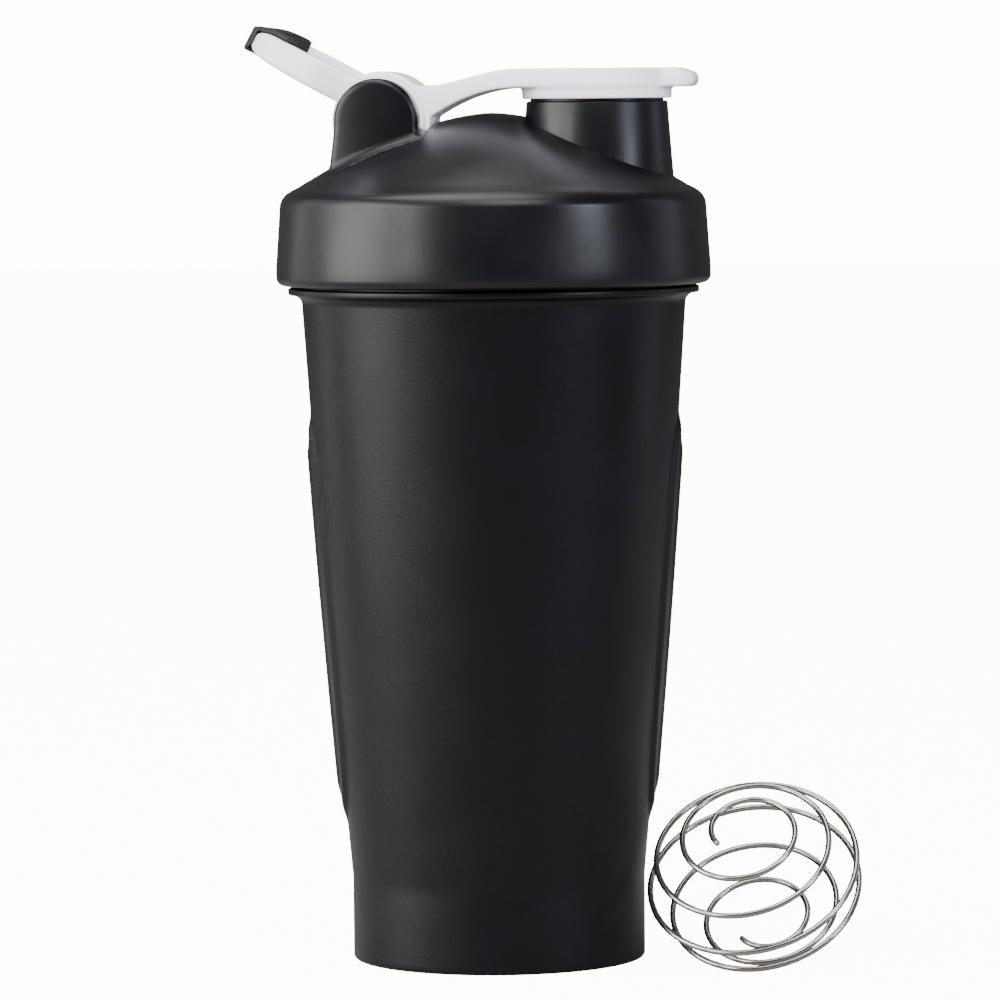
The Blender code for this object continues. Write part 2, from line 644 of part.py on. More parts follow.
def whisk_points():
    """Middle line of the wire: a spiral over a flattened ball, from pole to pole."""
    radius = WHISK_RADIUS - WHISK_WIRE_RADIUS
    height = WHISK_HALF_HEIGHT - WHISK_WIRE_RADIUS
    lean = Matrix.Rotation(math.radians(WHISK_LEAN), 3, "Y")
    turn = Matrix.Rotation(math.radians(WHISK_LEAN_TOWARDS), 3, "Z")
    steps = round(WHISK_TURNS * 16)
    points = []
    for i in range(steps + 1):
        share = i / steps
        bunching = WHISK_BUNCHING * math.sin(math.tau * share)
        polar = math.radians(WHISK_POLE_ANGLE + (180 - 2 * WHISK_POLE_ANGLE) * share - bunching)
        spin = math.radians(WHISK_PHASE) - math.tau * WHISK_TURNS * share
        flat = radius * math.sin(polar)
        local = Vector((flat * math.cos(spin), flat * math.sin(spin), height * math.cos(polar)))
        points.append(turn @ lean @ local)
    lowest = min(point.z for point in points) - WHISK_WIRE_RADIUS
    return [point + Vector((WHISK_X, WHISK_Y, -lowest)) for point in points]


def make_whisk_ball(material):
    """Build the mixing ball from one wound wire."""
    curve = bpy.data.curves.new("whisk_ball", "CURVE")
    curve.dimensions = "3D"
    curve.bevel_depth = WHISK_WIRE_RADIUS
    curve.bevel_resolution = 1
    curve.use_fill_caps = True
    points = whisk_points()
    spline = curve.splines.new("POLY")
    spline.points.add(len(points) - 1)
    for slot, point in zip(spline.points, points):
        slot.co = (*point, 1)
    curve.materials.append(material)
    obj = bpy.data.objects.new("whisk_ball", curve)
    bpy.context.scene.collection.objects.link(obj)
    return obj


def main():
    """Build every piece of the bottle."""
    clear_scene()
    black = plastic("black_plastic", (0.018, 0.018, 0.021), 0.42)
    white = plastic("white_plastic", (0.80, 0.78, 0.82), 0.35)
    make_cup(black)
    make_lid(plastic("lid_plastic", (0.018, 0.018, 0.021), 0.38))
    make_lid_seal(plastic("seal_silicone", (0.35, 0.35, 0.36), 0.6))
    make_hinge_pin(plastic("pin_steel", (0.55, 0.55, 0.56), 0.3, 1.0))
    make_flip_cap(white)
    make_carry_loop(white)
    make_loop_grip(plastic("grip_rubber", (0.015, 0.015, 0.016), 0.65))
    make_whisk_ball(plastic("whisk_steel", (0.62, 0.60, 0.57), 0.22, 1.0))


main()
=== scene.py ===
"""Looks of a protein shaker bottle: cup, screw lid, flip cap, carry loop with its grip, whisk ball.

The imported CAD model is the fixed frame. Each class below builds one sub-assembly in finer
detail at the place the frame gives it and dresses it. Sizes are in metres, angles in degrees.
"""

import json
import logging
import math
from collections.abc import Callable, Iterable, Sequence
from dataclasses import dataclass
from enum import Enum

import bmesh
import bpy
from mathutils import Matrix, Vector


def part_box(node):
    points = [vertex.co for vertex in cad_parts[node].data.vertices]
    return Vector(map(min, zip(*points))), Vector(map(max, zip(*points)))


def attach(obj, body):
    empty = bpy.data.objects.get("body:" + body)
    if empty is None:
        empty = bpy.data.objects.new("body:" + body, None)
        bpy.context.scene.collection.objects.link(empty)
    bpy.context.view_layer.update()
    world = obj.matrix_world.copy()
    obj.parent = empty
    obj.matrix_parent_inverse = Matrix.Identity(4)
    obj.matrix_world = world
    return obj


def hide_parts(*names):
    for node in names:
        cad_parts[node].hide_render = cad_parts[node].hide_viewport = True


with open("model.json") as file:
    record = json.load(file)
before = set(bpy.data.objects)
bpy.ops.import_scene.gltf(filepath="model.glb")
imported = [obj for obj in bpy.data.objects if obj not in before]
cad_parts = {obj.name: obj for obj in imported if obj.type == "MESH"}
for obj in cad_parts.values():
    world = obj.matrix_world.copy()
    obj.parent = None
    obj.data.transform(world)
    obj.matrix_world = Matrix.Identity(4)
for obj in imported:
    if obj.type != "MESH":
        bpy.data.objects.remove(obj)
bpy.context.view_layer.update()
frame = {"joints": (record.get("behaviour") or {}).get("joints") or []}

LOG = logging.getLogger("shaker")
Point = tuple[float, float]

# Points closer than this are one point.
MERGE = 1e-6
# Turns between faces that shade as an edge, and that a bevel rounds.
SHARP_ANGLE = 38.0
EDGE_ANGLE = 50.0
BEVEL_PROFILE = 0.5
SMOOTH_FACTOR = 0.5
# How far cutters reach: past the whole piece, and just past one face.
PAST = 0.02
OVERCUT = 0.001


# ---------------------------------------------------------------- shapes


def arc(x: float, y: float, radius: float, start: float, end: float, steps: int) -> list[Point]:
    """Return points on an arc, both ends included.

    Args:
        x: First coordinate of the arc's centre.
        y: Second coordinate of the arc's centre.
        radius: Radius of the arc.
        start: Angle of the first point.
        end: Angle of the last point.
        steps: How many chords the arc is cut into.

    Returns:
        The points in order from start to end.
    """
    angles = [math.radians(start + (end - start) * i / steps) for i in range(steps + 1)]
    return [(x + radius * math.cos(a), y + radius * math.sin(a)) for a in angles]


def circle(x: float, y: float, radius: float, steps: int) -> list[Point]:
    """Return the points of a whole circle, the first not repeated."""
    return arc(x, y, radius, 0, 360, steps)[:-1]


def clamped(share: float) -> float:
    """Keep a share between 0 and 1."""
    return min(max(share, 0.0), 1.0)


def ease(share: float) -> float:
    """Rise smoothly from 0 to 1 as the share does."""
    share = clamped(share)
    return share * share * (3 - 2 * share)


def between(start: Point, end: Point, step: float) -> list[Point]:
    """Return points along a straight run, the first included and the last left out.

    Args:
        start: Where the run starts.
        end: Where the run ends.
        step: Longest distance allowed between two points.

    Returns:
        Evenly spaced points.
    """
    count = max(1, math.ceil(math.dist(start, end) / step))
    return [
        (start[0] + (end[0] - start[0]) * i / count, start[1] + (end[1] - start[1]) * i / count)
        for i in range(count)
    ]


def rounded(corners: Sequence[tuple[float, float, float]], steps: int = 5) -> list[Point]:
    """Round the corners of a closed outline.

    Args:
        corners: The outline as (x, y, radius) corners in order; a radius of 0 keeps it crisp.
        steps: How many chords each round corner has.

    Returns:
        The outline's points in the same order.
    """
    outline: list[Point] = []
    for i, (x, y, radius) in enumerate(corners):
        here = Vector((x, y))
        back = Vector(corners[i - 1][:2]) - here
        ahead = Vector(corners[(i + 1) % len(corners)][:2]) - here
        if radius <= 0 or min(back.length, ahead.length) < MERGE:
            outline.append((x, y))
            continue
        back.normalize()
        ahead.normalize()
        half = back.angle(ahead) / 2
        reach = radius / math.tan(half)
        centre = here + (back + ahead).normalized() * radius / math.sin(half)
        first = (here + back * reach - centre).normalized()
        last = (here + ahead * reach - centre).normalized()
        for k in range(steps + 1):
            outline.append(tuple(centre + first.slerp(last, k / steps, first) * radius))
    return outline


def rounded_run(corners: Sequence[Point], steps: int) -> list[Point]:
    """Round an open run of corners into a smooth curve through its ends.

    Args:
        corners: The run's control points.
        steps: How many points each stretch between the middles of two sides has.

    Returns:
        The curve's points.
    """
    points = [corners[0]]
    for before, here, after in zip(corners, corners[1:], corners[2:]):
        first = Vector(before).lerp(Vector(here), 0.5 if before != corners[0] else 0.0)
        last = Vector(here).lerp(Vector(after), 0.5 if after != corners[-1] else 1.0)
        for k in range(1, steps + 1):
            share = k / steps
            low = first.lerp(Vector(here), share)
            points.append(tuple(low.lerp(Vector(here).lerp(last, share), share)))
    return points


def turned(
    outline: Sequence[Point], steps: int, centre: Sequence[float] = (0.0, 0.0, 0.0)
) -> bmesh.types.BMesh:
    """Spin a closed outline of (radius, height) points about the vertical axis.

    Args:
        outline: The closed outline, with any points on the axis at radius 0.
        steps: How many steps the full turn has.
        centre: Where the axis stands.

    Returns:
        A closed bmesh with its normals outwards.
    """
    bm = bmesh.new()
    ring = [bm.verts.new((radius, 0, z)) for radius, z in outline]
    edges = [bm.edges.new(pair) for pair in zip(ring, ring[1:] + ring[:1])]
    edges = [edge for edge in edges if any(v.co.x > MERGE for v in edge.verts)]
    bmesh.ops.spin(
        bm, geom=ring + edges, cent=(0, 0, 0), axis=(0, 0, 1), dvec=(0, 0, 0),
        angle=math.tau, steps=steps, use_merge=True, use_duplicate=False,
    )
    loose = [edge for edge in bm.edges if not edge.link_faces]
    bmesh.ops.delete(bm, geom=loose, context="EDGES")
    return tidied(bm, centre)


def tidied(bm: bmesh.types.BMesh, move: Sequence[float] = (0.0, 0.0, 0.0)) -> bmesh.types.BMesh:
    """Merge doubles, turn the faces outwards and move the shape.

    Args:
        bm: The shape to tidy.
        move: How far to move it.

    Returns:
        The same bmesh.
    """
    bmesh.ops.remove_doubles(bm, verts=bm.verts, dist=MERGE)
    bmesh.ops.recalc_face_normals(bm, faces=bm.faces)
    bmesh.ops.translate(bm, verts=bm.verts, vec=Vector(move))
    return bm


def prism(outline: Sequence[Point], low: float, high: float, upright: bool) -> bmesh.types.BMesh:
    """Extrude a closed outline into a solid.

    Args:
        outline: The (x, y) points of an upright prism, or the (x, z) points of one along Y.
        low: Where the solid starts.
        high: Where it ends.
        upright: Whether it rises along Z; otherwise it lies along Y.

    Returns:
        A closed bmesh.
    """
    bm = bmesh.new()
    way = Vector((0, 0, high - low)) if upright else Vector((0, high - low, 0))
    points = [(a, b, low) if upright else (a, low, b) for a, b in outline]
    face = bm.faces.new([bm.verts.new(point) for point in points])
    grown = bmesh.ops.extrude_face_region(bm, geom=[face])
    moved = [part for part in grown["geom"] if isinstance(part, bmesh.types.BMVert)]
    bmesh.ops.translate(bm, verts=moved, vec=way)
    return tidied(bm)


def soft_edges(bm: bmesh.types.BMesh, width: float, segments: int) -> None:
    """Round every edge that turns sharply.

    Args:
        bm: The shape to round.
        width: Width of the bevel.
        segments: How many facets it has.
    """
    edges = [
        edge for edge in bm.edges
        if len(edge.link_faces) == 2 and edge.calc_face_angle(0.0) > math.radians(EDGE_ANGLE)
    ]
    bmesh.ops.bevel(
        bm, geom=edges, offset=width, segments=segments, profile=BEVEL_PROFILE, affect="EDGES",
        clamp_overlap=True, material=-1,
    )
    tidied(bm)


def swept(stations: Sequence[Sequence[Vector]]) -> bmesh.types.BMesh:
    """Bridge equal rings of points into a tube and close its ends.

    Args:
        stations: The rings in order along the tube.

    Returns:
        A closed bmesh.
    """
    bm = bmesh.new()
    rings = []
    for station in stations:
        verts = [bm.verts.new(point) for point in station]
        rings.append([bm.edges.new(pair) for pair in zip(verts, verts[1:] + verts[:1])])
    for ring, following in zip(rings, rings[1:]):
        bmesh.ops.bridge_loops(bm, edges=ring + following)
    for ring in (rings[0], rings[-1]):
        bmesh.ops.edgeloop_fill(bm, edges=ring)
    return tidied(bm)


# ---------------------------------------------------------------- pieces


def show(obj: bpy.types.Object) -> bpy.types.Object:
    """Link an object to the scene and return it."""
    bpy.context.scene.collection.objects.link(obj)
    return obj


def as_object(name: str, bm: bmesh.types.BMesh) -> bpy.types.Object:
    """Turn a bmesh into an object and free the bmesh.

    Args:
        name: Name of the object and its mesh.
        bm: The shape.

    Returns:
        The new object, linked to the scene.
    """
    mesh = bpy.data.meshes.new(name)
    bm.to_mesh(mesh)
    bm.free()
    return show(bpy.data.objects.new(name, mesh))


def applied(obj: bpy.types.Object) -> bpy.types.Object:
    """Replace an object's mesh with its evaluated one and drop its modifiers.

    Args:
        obj: The object to settle.

    Returns:
        The same object.
    """
    graph = bpy.context.evaluated_depsgraph_get()
    settled = bpy.data.meshes.new_from_object(obj.evaluated_get(graph), depsgraph=graph)
    settled.name = obj.name
    before = obj.data
    obj.modifiers.clear()
    obj.data = settled
    bpy.data.meshes.remove(before)
    return obj


def taken(obj: bpy.types.Object) -> bmesh.types.BMesh:
    """Take a helper's shape and remove the helper.

    Args:
        obj: The helper.

    Returns:
        Its shape.
    """
    bm = bmesh.new()
    bm.from_mesh(obj.data)
    bpy.data.objects.remove(obj, do_unlink=True)
    return bm


class Cut(Enum):
    """How a helper changes a piece."""

    JOIN = "UNION"
    CARVE = "DIFFERENCE"
    KEEP = "INTERSECT"


def combine(obj: bpy.types.Object, how: Cut, *shapes: bmesh.types.BMesh) -> bpy.types.Object:
    """Join shapes to a piece, carve them out of it or keep what they share.

    Args:
        obj: The piece.
        how: What to do with the shapes.
        shapes: Closed bmeshes, used up by the call.

    Returns:
        The piece, with the result in its own mesh.
    """
    for bm in shapes:
        helper = as_object("helper", bm)
        modifier = obj.modifiers.new(how.value, "BOOLEAN")
        modifier.operation = how.value
        modifier.solver = "EXACT"
        modifier.object = helper
        applied(obj)
        bpy.data.objects.remove(helper, do_unlink=True)
    return obj


def softened(obj: bpy.types.Object, voxel: float, rounds: int) -> bpy.types.Object:
    """Round a moulded piece all over, as a die with no sharp corner leaves it.

    Args:
        obj: The piece.
        voxel: Size of the even grid its surface is laid on.
        rounds: How many times the grid is smoothed.

    Returns:
        The same piece.
    """
    remesh = obj.modifiers.new("even grid", "REMESH")
    remesh.mode = "VOXEL"
    remesh.voxel_size = voxel
    smooth = obj.modifiers.new("soft corners", "SMOOTH")
    smooth.factor = SMOOTH_FACTOR
    smooth.iterations = rounds
    return applied(obj)


@dataclass
class SubAssembly:
    """A group of pieces that is built and dressed together."""

    def build(self) -> list[bpy.types.Object]:
        """Build and dress every piece of the group."""
        raise NotImplementedError

    def dress(
        self, obj: bpy.types.Object, finish: "Finish", body: str, node: str, slot: str
    ) -> bpy.types.Object:
        """Shade a piece, give it its finish and let it stand for its CAD node.

        Args:
            obj: The finished piece, at the origin with its place in its mesh.
            finish: What it is made of.
            body: The body it moves with.
            node: The CAD node it stands for.
            slot: Not used.

        Returns:
            The same piece.
        """
        obj.data.shade_smooth()
        obj.data.set_sharp_from_angle(angle=math.radians(SHARP_ANGLE))
        obj.data.materials.clear()
        obj.data.materials.append(finish.material())
        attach(obj, body)
        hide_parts(node)
        return obj


# ---------------------------------------------------------------- finishes


# Shares and sizes that every finish has in common.
SHEEN_ROUGHNESS = 0.45
GLOW_WEIGHT = 0.35
GLOW_RADIUS = (1.0, 0.95, 0.9)
DRIFT_SIZE = 0.018
DRIFT_DETAIL = 3.0
NOISE_MIDDLE = 0.5
NOISE_REACH = 0.2
DRAWN_STRETCH = (1.0, 0.12, 1.0)


class Grain(Enum):
    """Fine surface texture left by a tool or a die."""

    SPARK = "spark-eroded mould texture"
    POLISHED = "polished mould with faint flow"
    RUBBER = "soft matt rubber"
    DRAWN = "drawn wire"


@dataclass(frozen=True)
class Finish:
    """A material made of a base colour, a gloss and a fine grain."""

    name: str
    colour: tuple[float, float, float]
    roughness: float
    grain: Grain
    metallic: float = 0.0
    grain_size: float = 0.0003
    grain_depth: float = 0.00002
    colour_drift: float = 0.12
    roughness_drift: float = 0.06
    sheen: float = 0.0
    glow_depth: float = 0.0
    specular: float = 0.5

    def material(self) -> bpy.types.Material:
        """Return the material, made once and then shared."""
        found = bpy.data.materials.get(self.name)
        return found or self._make()

    def _make(self) -> bpy.types.Material:
        """Build the node tree.

        Returns:
            The new material.
        """
        material = bpy.data.materials.new(self.name)
        material.use_nodes = True
        tree = material.node_tree
        shader = tree.nodes["Principled BSDF"]
        shader.inputs["Metallic"].default_value = self.metallic
        shader.inputs["Specular IOR Level"].default_value = self.specular
        shader.inputs["Sheen Weight"].default_value = self.sheen
        shader.inputs["Sheen Roughness"].default_value = SHEEN_ROUGHNESS
        if self.glow_depth:
            shader.inputs["Subsurface Weight"].default_value = GLOW_WEIGHT
            shader.inputs["Subsurface Scale"].default_value = self.glow_depth
            shader.inputs["Subsurface Radius"].default_value = GLOW_RADIUS
        place = tree.nodes.new("ShaderNodeTexCoord").outputs["Object"]
        drift = self._noise(tree, place, 1 / DRIFT_SIZE, DRIFT_DETAIL)
        self._spread(tree, drift, self.colour, shader.inputs["Base Color"])
        gloss = self._range(
            tree, drift, self.roughness - self.roughness_drift,
            self.roughness + self.roughness_drift,
        )
        tree.links.new(gloss, shader.inputs["Roughness"])
        self._bump(tree, place, shader)
        return material

    def _noise(
        self, tree: bpy.types.NodeTree, place: bpy.types.NodeSocket, scale: float, detail: float
    ) -> bpy.types.NodeSocket:
        """Add a noise texture.

        Args:
            tree: The material's node tree.
            place: The coordinates to read.
            scale: Cells in a metre.
            detail: How many octaves.

        Returns:
            The noise's value socket.
        """
        noise = tree.nodes.new("ShaderNodeTexNoise")
        noise.inputs["Scale"].default_value = scale
        noise.inputs["Detail"].default_value = detail
        tree.links.new(place, noise.inputs["Vector"])
        return noise.outputs["Fac"]

    def _range(
        self, tree: bpy.types.NodeTree, value: bpy.types.NodeSocket, low: float, high: float
    ) -> bpy.types.NodeSocket:
        """Map the middle of a noise to a range.

        Args:
            tree: The material's node tree.
            value: The noise's value.
            low: Result where the noise is weak.
            high: Result where it is strong.

        Returns:
            The mapped value's socket.
        """
        node = tree.nodes.new("ShaderNodeMapRange")
        node.inputs["From Min"].default_value = NOISE_MIDDLE - NOISE_REACH
        node.inputs["From Max"].default_value = NOISE_MIDDLE + NOISE_REACH
        node.inputs["To Min"].default_value = low
        node.inputs["To Max"].default_value = high
        tree.links.new(value, node.inputs["Value"])
        return node.outputs["Result"]

    def _spread(
        self,
        tree: bpy.types.NodeTree,
        value: bpy.types.NodeSocket,
        colour: tuple[float, float, float],
        target: bpy.types.NodeSocket,
    ) -> None:
        """Let a colour drift a little darker and lighter.

        Args:
            tree: The material's node tree.
            value: The noise that drives the drift.
            colour: The middle colour.
            target: The socket that takes the result.
        """
        ramp = tree.nodes.new("ShaderNodeValToRGB")
        for end, way in zip(ramp.color_ramp.elements, (-1, 1)):
            end.position = NOISE_MIDDLE + NOISE_REACH * way
            end.color = (*(part * (1 + way * self.colour_drift) for part in colour), 1.0)
        tree.links.new(value, ramp.inputs["Fac"])
        tree.links.new(ramp.outputs["Color"], target)

    def _bump(
        self, tree: bpy.types.NodeTree, place: bpy.types.NodeSocket, shader: bpy.types.Node
    ) -> None:
        """Raise the fine grain.

        Args:
            tree: The material's node tree.
            place: The coordinates to read.
            shader: The shader that takes the normal.
        """
        if self.grain is Grain.DRAWN:
            stretch = tree.nodes.new("ShaderNodeMapping")
            stretch.inputs["Scale"].default_value = DRAWN_STRETCH
            tree.links.new(place, stretch.inputs["Vector"])
            place = stretch.outputs["Vector"]
        detail = {Grain.SPARK: 4.0, Grain.POLISHED: 1.0, Grain.RUBBER: 6.0, Grain.DRAWN: 2.0}
        height = self._noise(tree, place, 1 / self.grain_size, detail[self.grain])
        bump = tree.nodes.new("ShaderNodeBump")
        bump.inputs["Distance"].default_value = self.grain_depth
        tree.links.new(height, bump.inputs["Height"])
        tree.links.new(bump.outputs["Normal"], shader.inputs["Normal"])


CUP_FINISH = Finish(
    "cup_black_polypropylene", (0.0013, 0.0013, 0.0036), 0.36, Grain.SPARK,
    grain_size=0.00035, grain_depth=0.00003, specular=0.33,
)
LID_FINISH = Finish(
    "lid_black_polypropylene", (0.0014, 0.0014, 0.0038), 0.35, Grain.SPARK,
    grain_size=0.0003, grain_depth=0.00002, specular=0.48,
)
WHITE_FINISH = Finish(
    "white_polypropylene", (0.90, 0.850, 0.925), 0.36, Grain.POLISHED,
    grain_size=0.0025, grain_depth=0.00004, colour_drift=0.012, roughness_drift=0.04,
    glow_depth=0.0012,
)
RUBBER_FINISH = Finish(
    "black_soft_rubber", (0.006, 0.006, 0.007), 0.58, Grain.RUBBER,
    grain_size=0.0002, grain_depth=0.00003, sheen=0.05,
)
SILICONE_FINISH = Finish(
    "grey_silicone", (0.36, 0.36, 0.37), 0.55, Grain.RUBBER,
    grain_size=0.0006, grain_depth=0.00002, colour_drift=0.03, glow_depth=0.0008,
)
PIN_FINISH = Finish(
    "pin_steel", (0.56, 0.56, 0.57), 0.28, Grain.DRAWN, metallic=1.0,
    grain_size=0.00015, grain_depth=0.000008, colour_drift=0.05,
)
WIRE_FINISH = Finish(
    "bright_steel_wire", (0.48, 0.45, 0.41), 0.17, Grain.DRAWN, metallic=1.0,
    grain_size=0.0004, grain_depth=0.00001, colour_drift=0.08,
)


# ---------------------------------------------------------------- shared places


@dataclass(frozen=True)
class Datum:
    """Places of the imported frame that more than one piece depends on."""

    rim_z: float
    bead_radius: float
    lid_low_z: float
    lid_radius: float
    seal_low_z: float
    seal_high_z: float
    hinge: Vector
    cap_top_z: float
    ear_outer_y: float
    gap: float = 0.0003

    @classmethod
    def read(cls) -> "Datum":
        """Read the places from the frame.

        Returns:
            The shared places.
        """
        joints = {joint["name"]: joint for joint in frame["joints"]}
        cup_low, cup_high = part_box("cup")
        lid_low, lid_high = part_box("lid")
        seal_low, seal_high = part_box("lid_seal")
        pin_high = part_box("hinge_pin")[1]
        return cls(
            rim_z=cup_high.z,
            bead_radius=cup_high.x,
            lid_low_z=lid_low.z,
            lid_radius=lid_high.x,
            seal_low_z=seal_low.z,
            seal_high_z=seal_high.z,
            hinge=Vector(joints["cap_hinge"]["pos_m"]),
            cap_top_z=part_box("flip_cap")[1].z,
            ear_outer_y=pin_high.y + cls.gap,
        )

    @property
    def ceiling_z(self) -> float:
        """Height of the lid's flat underside above the seal."""
        return self.seal_high_z + self.gap


DATUM = Datum.read()
THREAD_PITCH = 0.0080
THREAD_ROOT = 0.0032
THREAD_CREST = 0.0018
THREAD_HEIGHT = 0.0018
THREAD_TURNS = 0.95
THREAD_RUNOUT = 30.0


def thread_height(angle: float, z: float, start_z: float) -> float:
    """Height of a screw thread's ridge at a place on a round wall.

    Args:
        angle: Angle about the axis, from 0 to 360.
        z: Height of the place.
        start_z: Height of the thread's middle at angle 0.

    Returns:
        How far the ridge stands from its wall.
    """
    share = angle / 360
    if share > THREAD_TURNS:
        return 0.0
    away = abs(z - start_z - THREAD_PITCH * share)
    flank = clamped((THREAD_ROOT / 2 - away) / ((THREAD_ROOT - THREAD_CREST) / 2))
    fade = ease(min(angle, THREAD_TURNS * 360 - angle) / THREAD_RUNOUT)
    return THREAD_HEIGHT * flank * fade


# ---------------------------------------------------------------- cup


@dataclass
class Cup(SubAssembly):
    """The tapered cup with its rim bead, neck thread and two grip panels."""

    base_radius: float = 0.0338
    base_edge: float = 0.0010
    band_z: float = 0.0190
    neck_radius: float = 0.0443
    neck_height: float = 0.0166
    bead_height: float = 0.0028
    bead_edge: float = 0.0005
    cove_drop: float = 0.0010
    cove_rise: float = 0.0012
    cove_steps: int = 10
    wall: float = 0.0020
    floor: float = 0.0026
    inner_corner: float = 0.0060
    inner_rows: int = 20
    swell: float = 0.0005
    groove_outer: float = 0.0298
    groove_inner: float = 0.0218
    groove_depth: float = 0.0010
    panel_low: float = 0.0310
    panel_high: float = 0.1270
    panel_half_angle: float = 16.6
    panel_relief: float = 0.0009
    panel_turn: float = 7.5
    panel_edge: float = 7.0
    panel_end: float = 9.0
    rib_share: float = 0.34
    rib_reach: float = 0.88
    rib_relief: float = 0.0006
    steps: int = 288
    row: float = 0.0011
    band_row: float = 0.0020
    thread_row: float = 0.0004

    @property
    def bead_low_z(self) -> float:
        """Height of the bead's lower edge."""
        return DATUM.rim_z - self.neck_height - self.bead_height

    def wall_radius(self, z: float) -> float:
        """Outside radius between the foot and the bead.

        Args:
            z: Height above the table.

        Returns:
            The radius without the grip panels.
        """
        share = clamped((z - self.band_z) / (self.bead_low_z - self.band_z))
        swell = self.swell * math.sin(math.pi * share)
        return self.base_radius + (self.neck_radius - self.base_radius) * share + swell

    def outline(self) -> list[Point]:
        """Trace the shell's closed outline.

        Returns:
            The (radius, height) points, outside first.
        """
        bead_top = DATUM.rim_z - self.neck_height
        bead = DATUM.bead_radius
        rim = self.wall / 2
        soft = self.bead_edge
        points = [
            (0.0, 0.0), (self.groove_inner, 0.0),
            (self.groove_inner + self.groove_depth, self.groove_depth),
            (self.groove_outer - self.groove_depth, self.groove_depth), (self.groove_outer, 0.0),
        ]
        edge = self.base_edge
        points += arc(self.base_radius - edge, edge, edge, -90, 0, 6)
        points += between(
            (self.base_radius, 2 * edge), (self.base_radius, self.band_z), self.band_row
        )
        cove_z = self.bead_low_z - self.cove_drop
        rows = math.ceil((cove_z - self.band_z) / self.row)
        for i in range(rows):
            z = self.band_z + (cove_z - self.band_z) * i / rows
            points.append((self.wall_radius(z), z))
        foot = self.wall_radius(cove_z)
        for i in range(self.cove_steps):
            angle = math.radians(90 * i / self.cove_steps)
            points.append((
                foot + (bead - soft - foot) * (1 - math.cos(angle)),
                cove_z + (self.cove_drop + self.cove_rise) * math.sin(angle),
            ))
        points += arc(bead - soft, self.bead_low_z + self.cove_rise + soft, soft, -90, 0, 4)
        points += arc(bead - soft, bead_top - soft, soft, 0, 90, 4)
        points += between(
            (self.neck_radius, bead_top), (self.neck_radius, DATUM.rim_z - rim), self.thread_row
        )
        points += arc(self.neck_radius - rim, DATUM.rim_z - rim, rim, 0, 180, 8)
        for i in range(self.inner_rows + 1):
            z = self.bead_low_z + (self.band_z - self.bead_low_z) * i / self.inner_rows
            points.append((self.wall_radius(z) - self.wall, z))
        corner = self.inner_corner
        points += arc(
            self.base_radius - self.wall - corner, self.floor + corner, corner, 0, -90, 8
        )
        return points + [(0.0, self.floor)]

    def panel(self, angle: float, z: float) -> float:
        """Height of the two-step lens-shaped panels on the cup's sides.

        Args:
            angle: Angle about the axis.
            z: Height above the table.

        Returns:
            How far the surface stands out there.
        """
        middle = (self.panel_high + self.panel_low) / 2
        along = (z - middle) / ((self.panel_high - self.panel_low) / 2)
        turn = (angle - self.panel_turn + 90) % 180 - 90
        height = 0.0
        tiers = (
            (1.0, 1.0, self.panel_relief), (self.rib_share, self.rib_reach, self.rib_relief)
        )
        for share, reach, relief in tiers:
            place = along / reach
            if abs(place) >= 1:
                continue
            across = turn / (self.panel_half_angle * share * math.sqrt(1 - place**4))
            side = ease(self.panel_edge * share * (1 - abs(across)))
            height += relief * side * ease(self.panel_end * (1 - abs(place)))
        return height

    def build(self) -> list[bpy.types.Object]:
        """Build and dress the cup.

        Returns:
            The cup alone.
        """
        bm = turned(self.outline(), self.steps)
        thread_start = DATUM.lid_low_z + THREAD_ROOT / 2 + DATUM.gap + THREAD_PITCH / 2
        neck_low = DATUM.rim_z - self.neck_height
        for vert in bm.verts:
            radius = vert.co.xy.length
            if radius < self.groove_outer:
                continue
            angle = math.degrees(math.atan2(vert.co.y, vert.co.x)) % 360
            z = vert.co.z
            if z > neck_low - MERGE:
                on_wall = abs(radius - self.neck_radius) < MERGE
                grown = thread_height(angle, z, thread_start) if on_wall else 0.0
            elif z < self.bead_low_z - MERGE and radius > self.wall_radius(z) - self.wall / 2:
                grown = self.panel(angle, z)
            else:
                grown = 0.0
            vert.co.xy *= 1 + grown / radius
        cup = as_object("Cup", tidied(bm))
        return [self.dress(cup, CUP_FINISH, "cup", "cup", "cup_plastic")]


# ---------------------------------------------------------------- lid


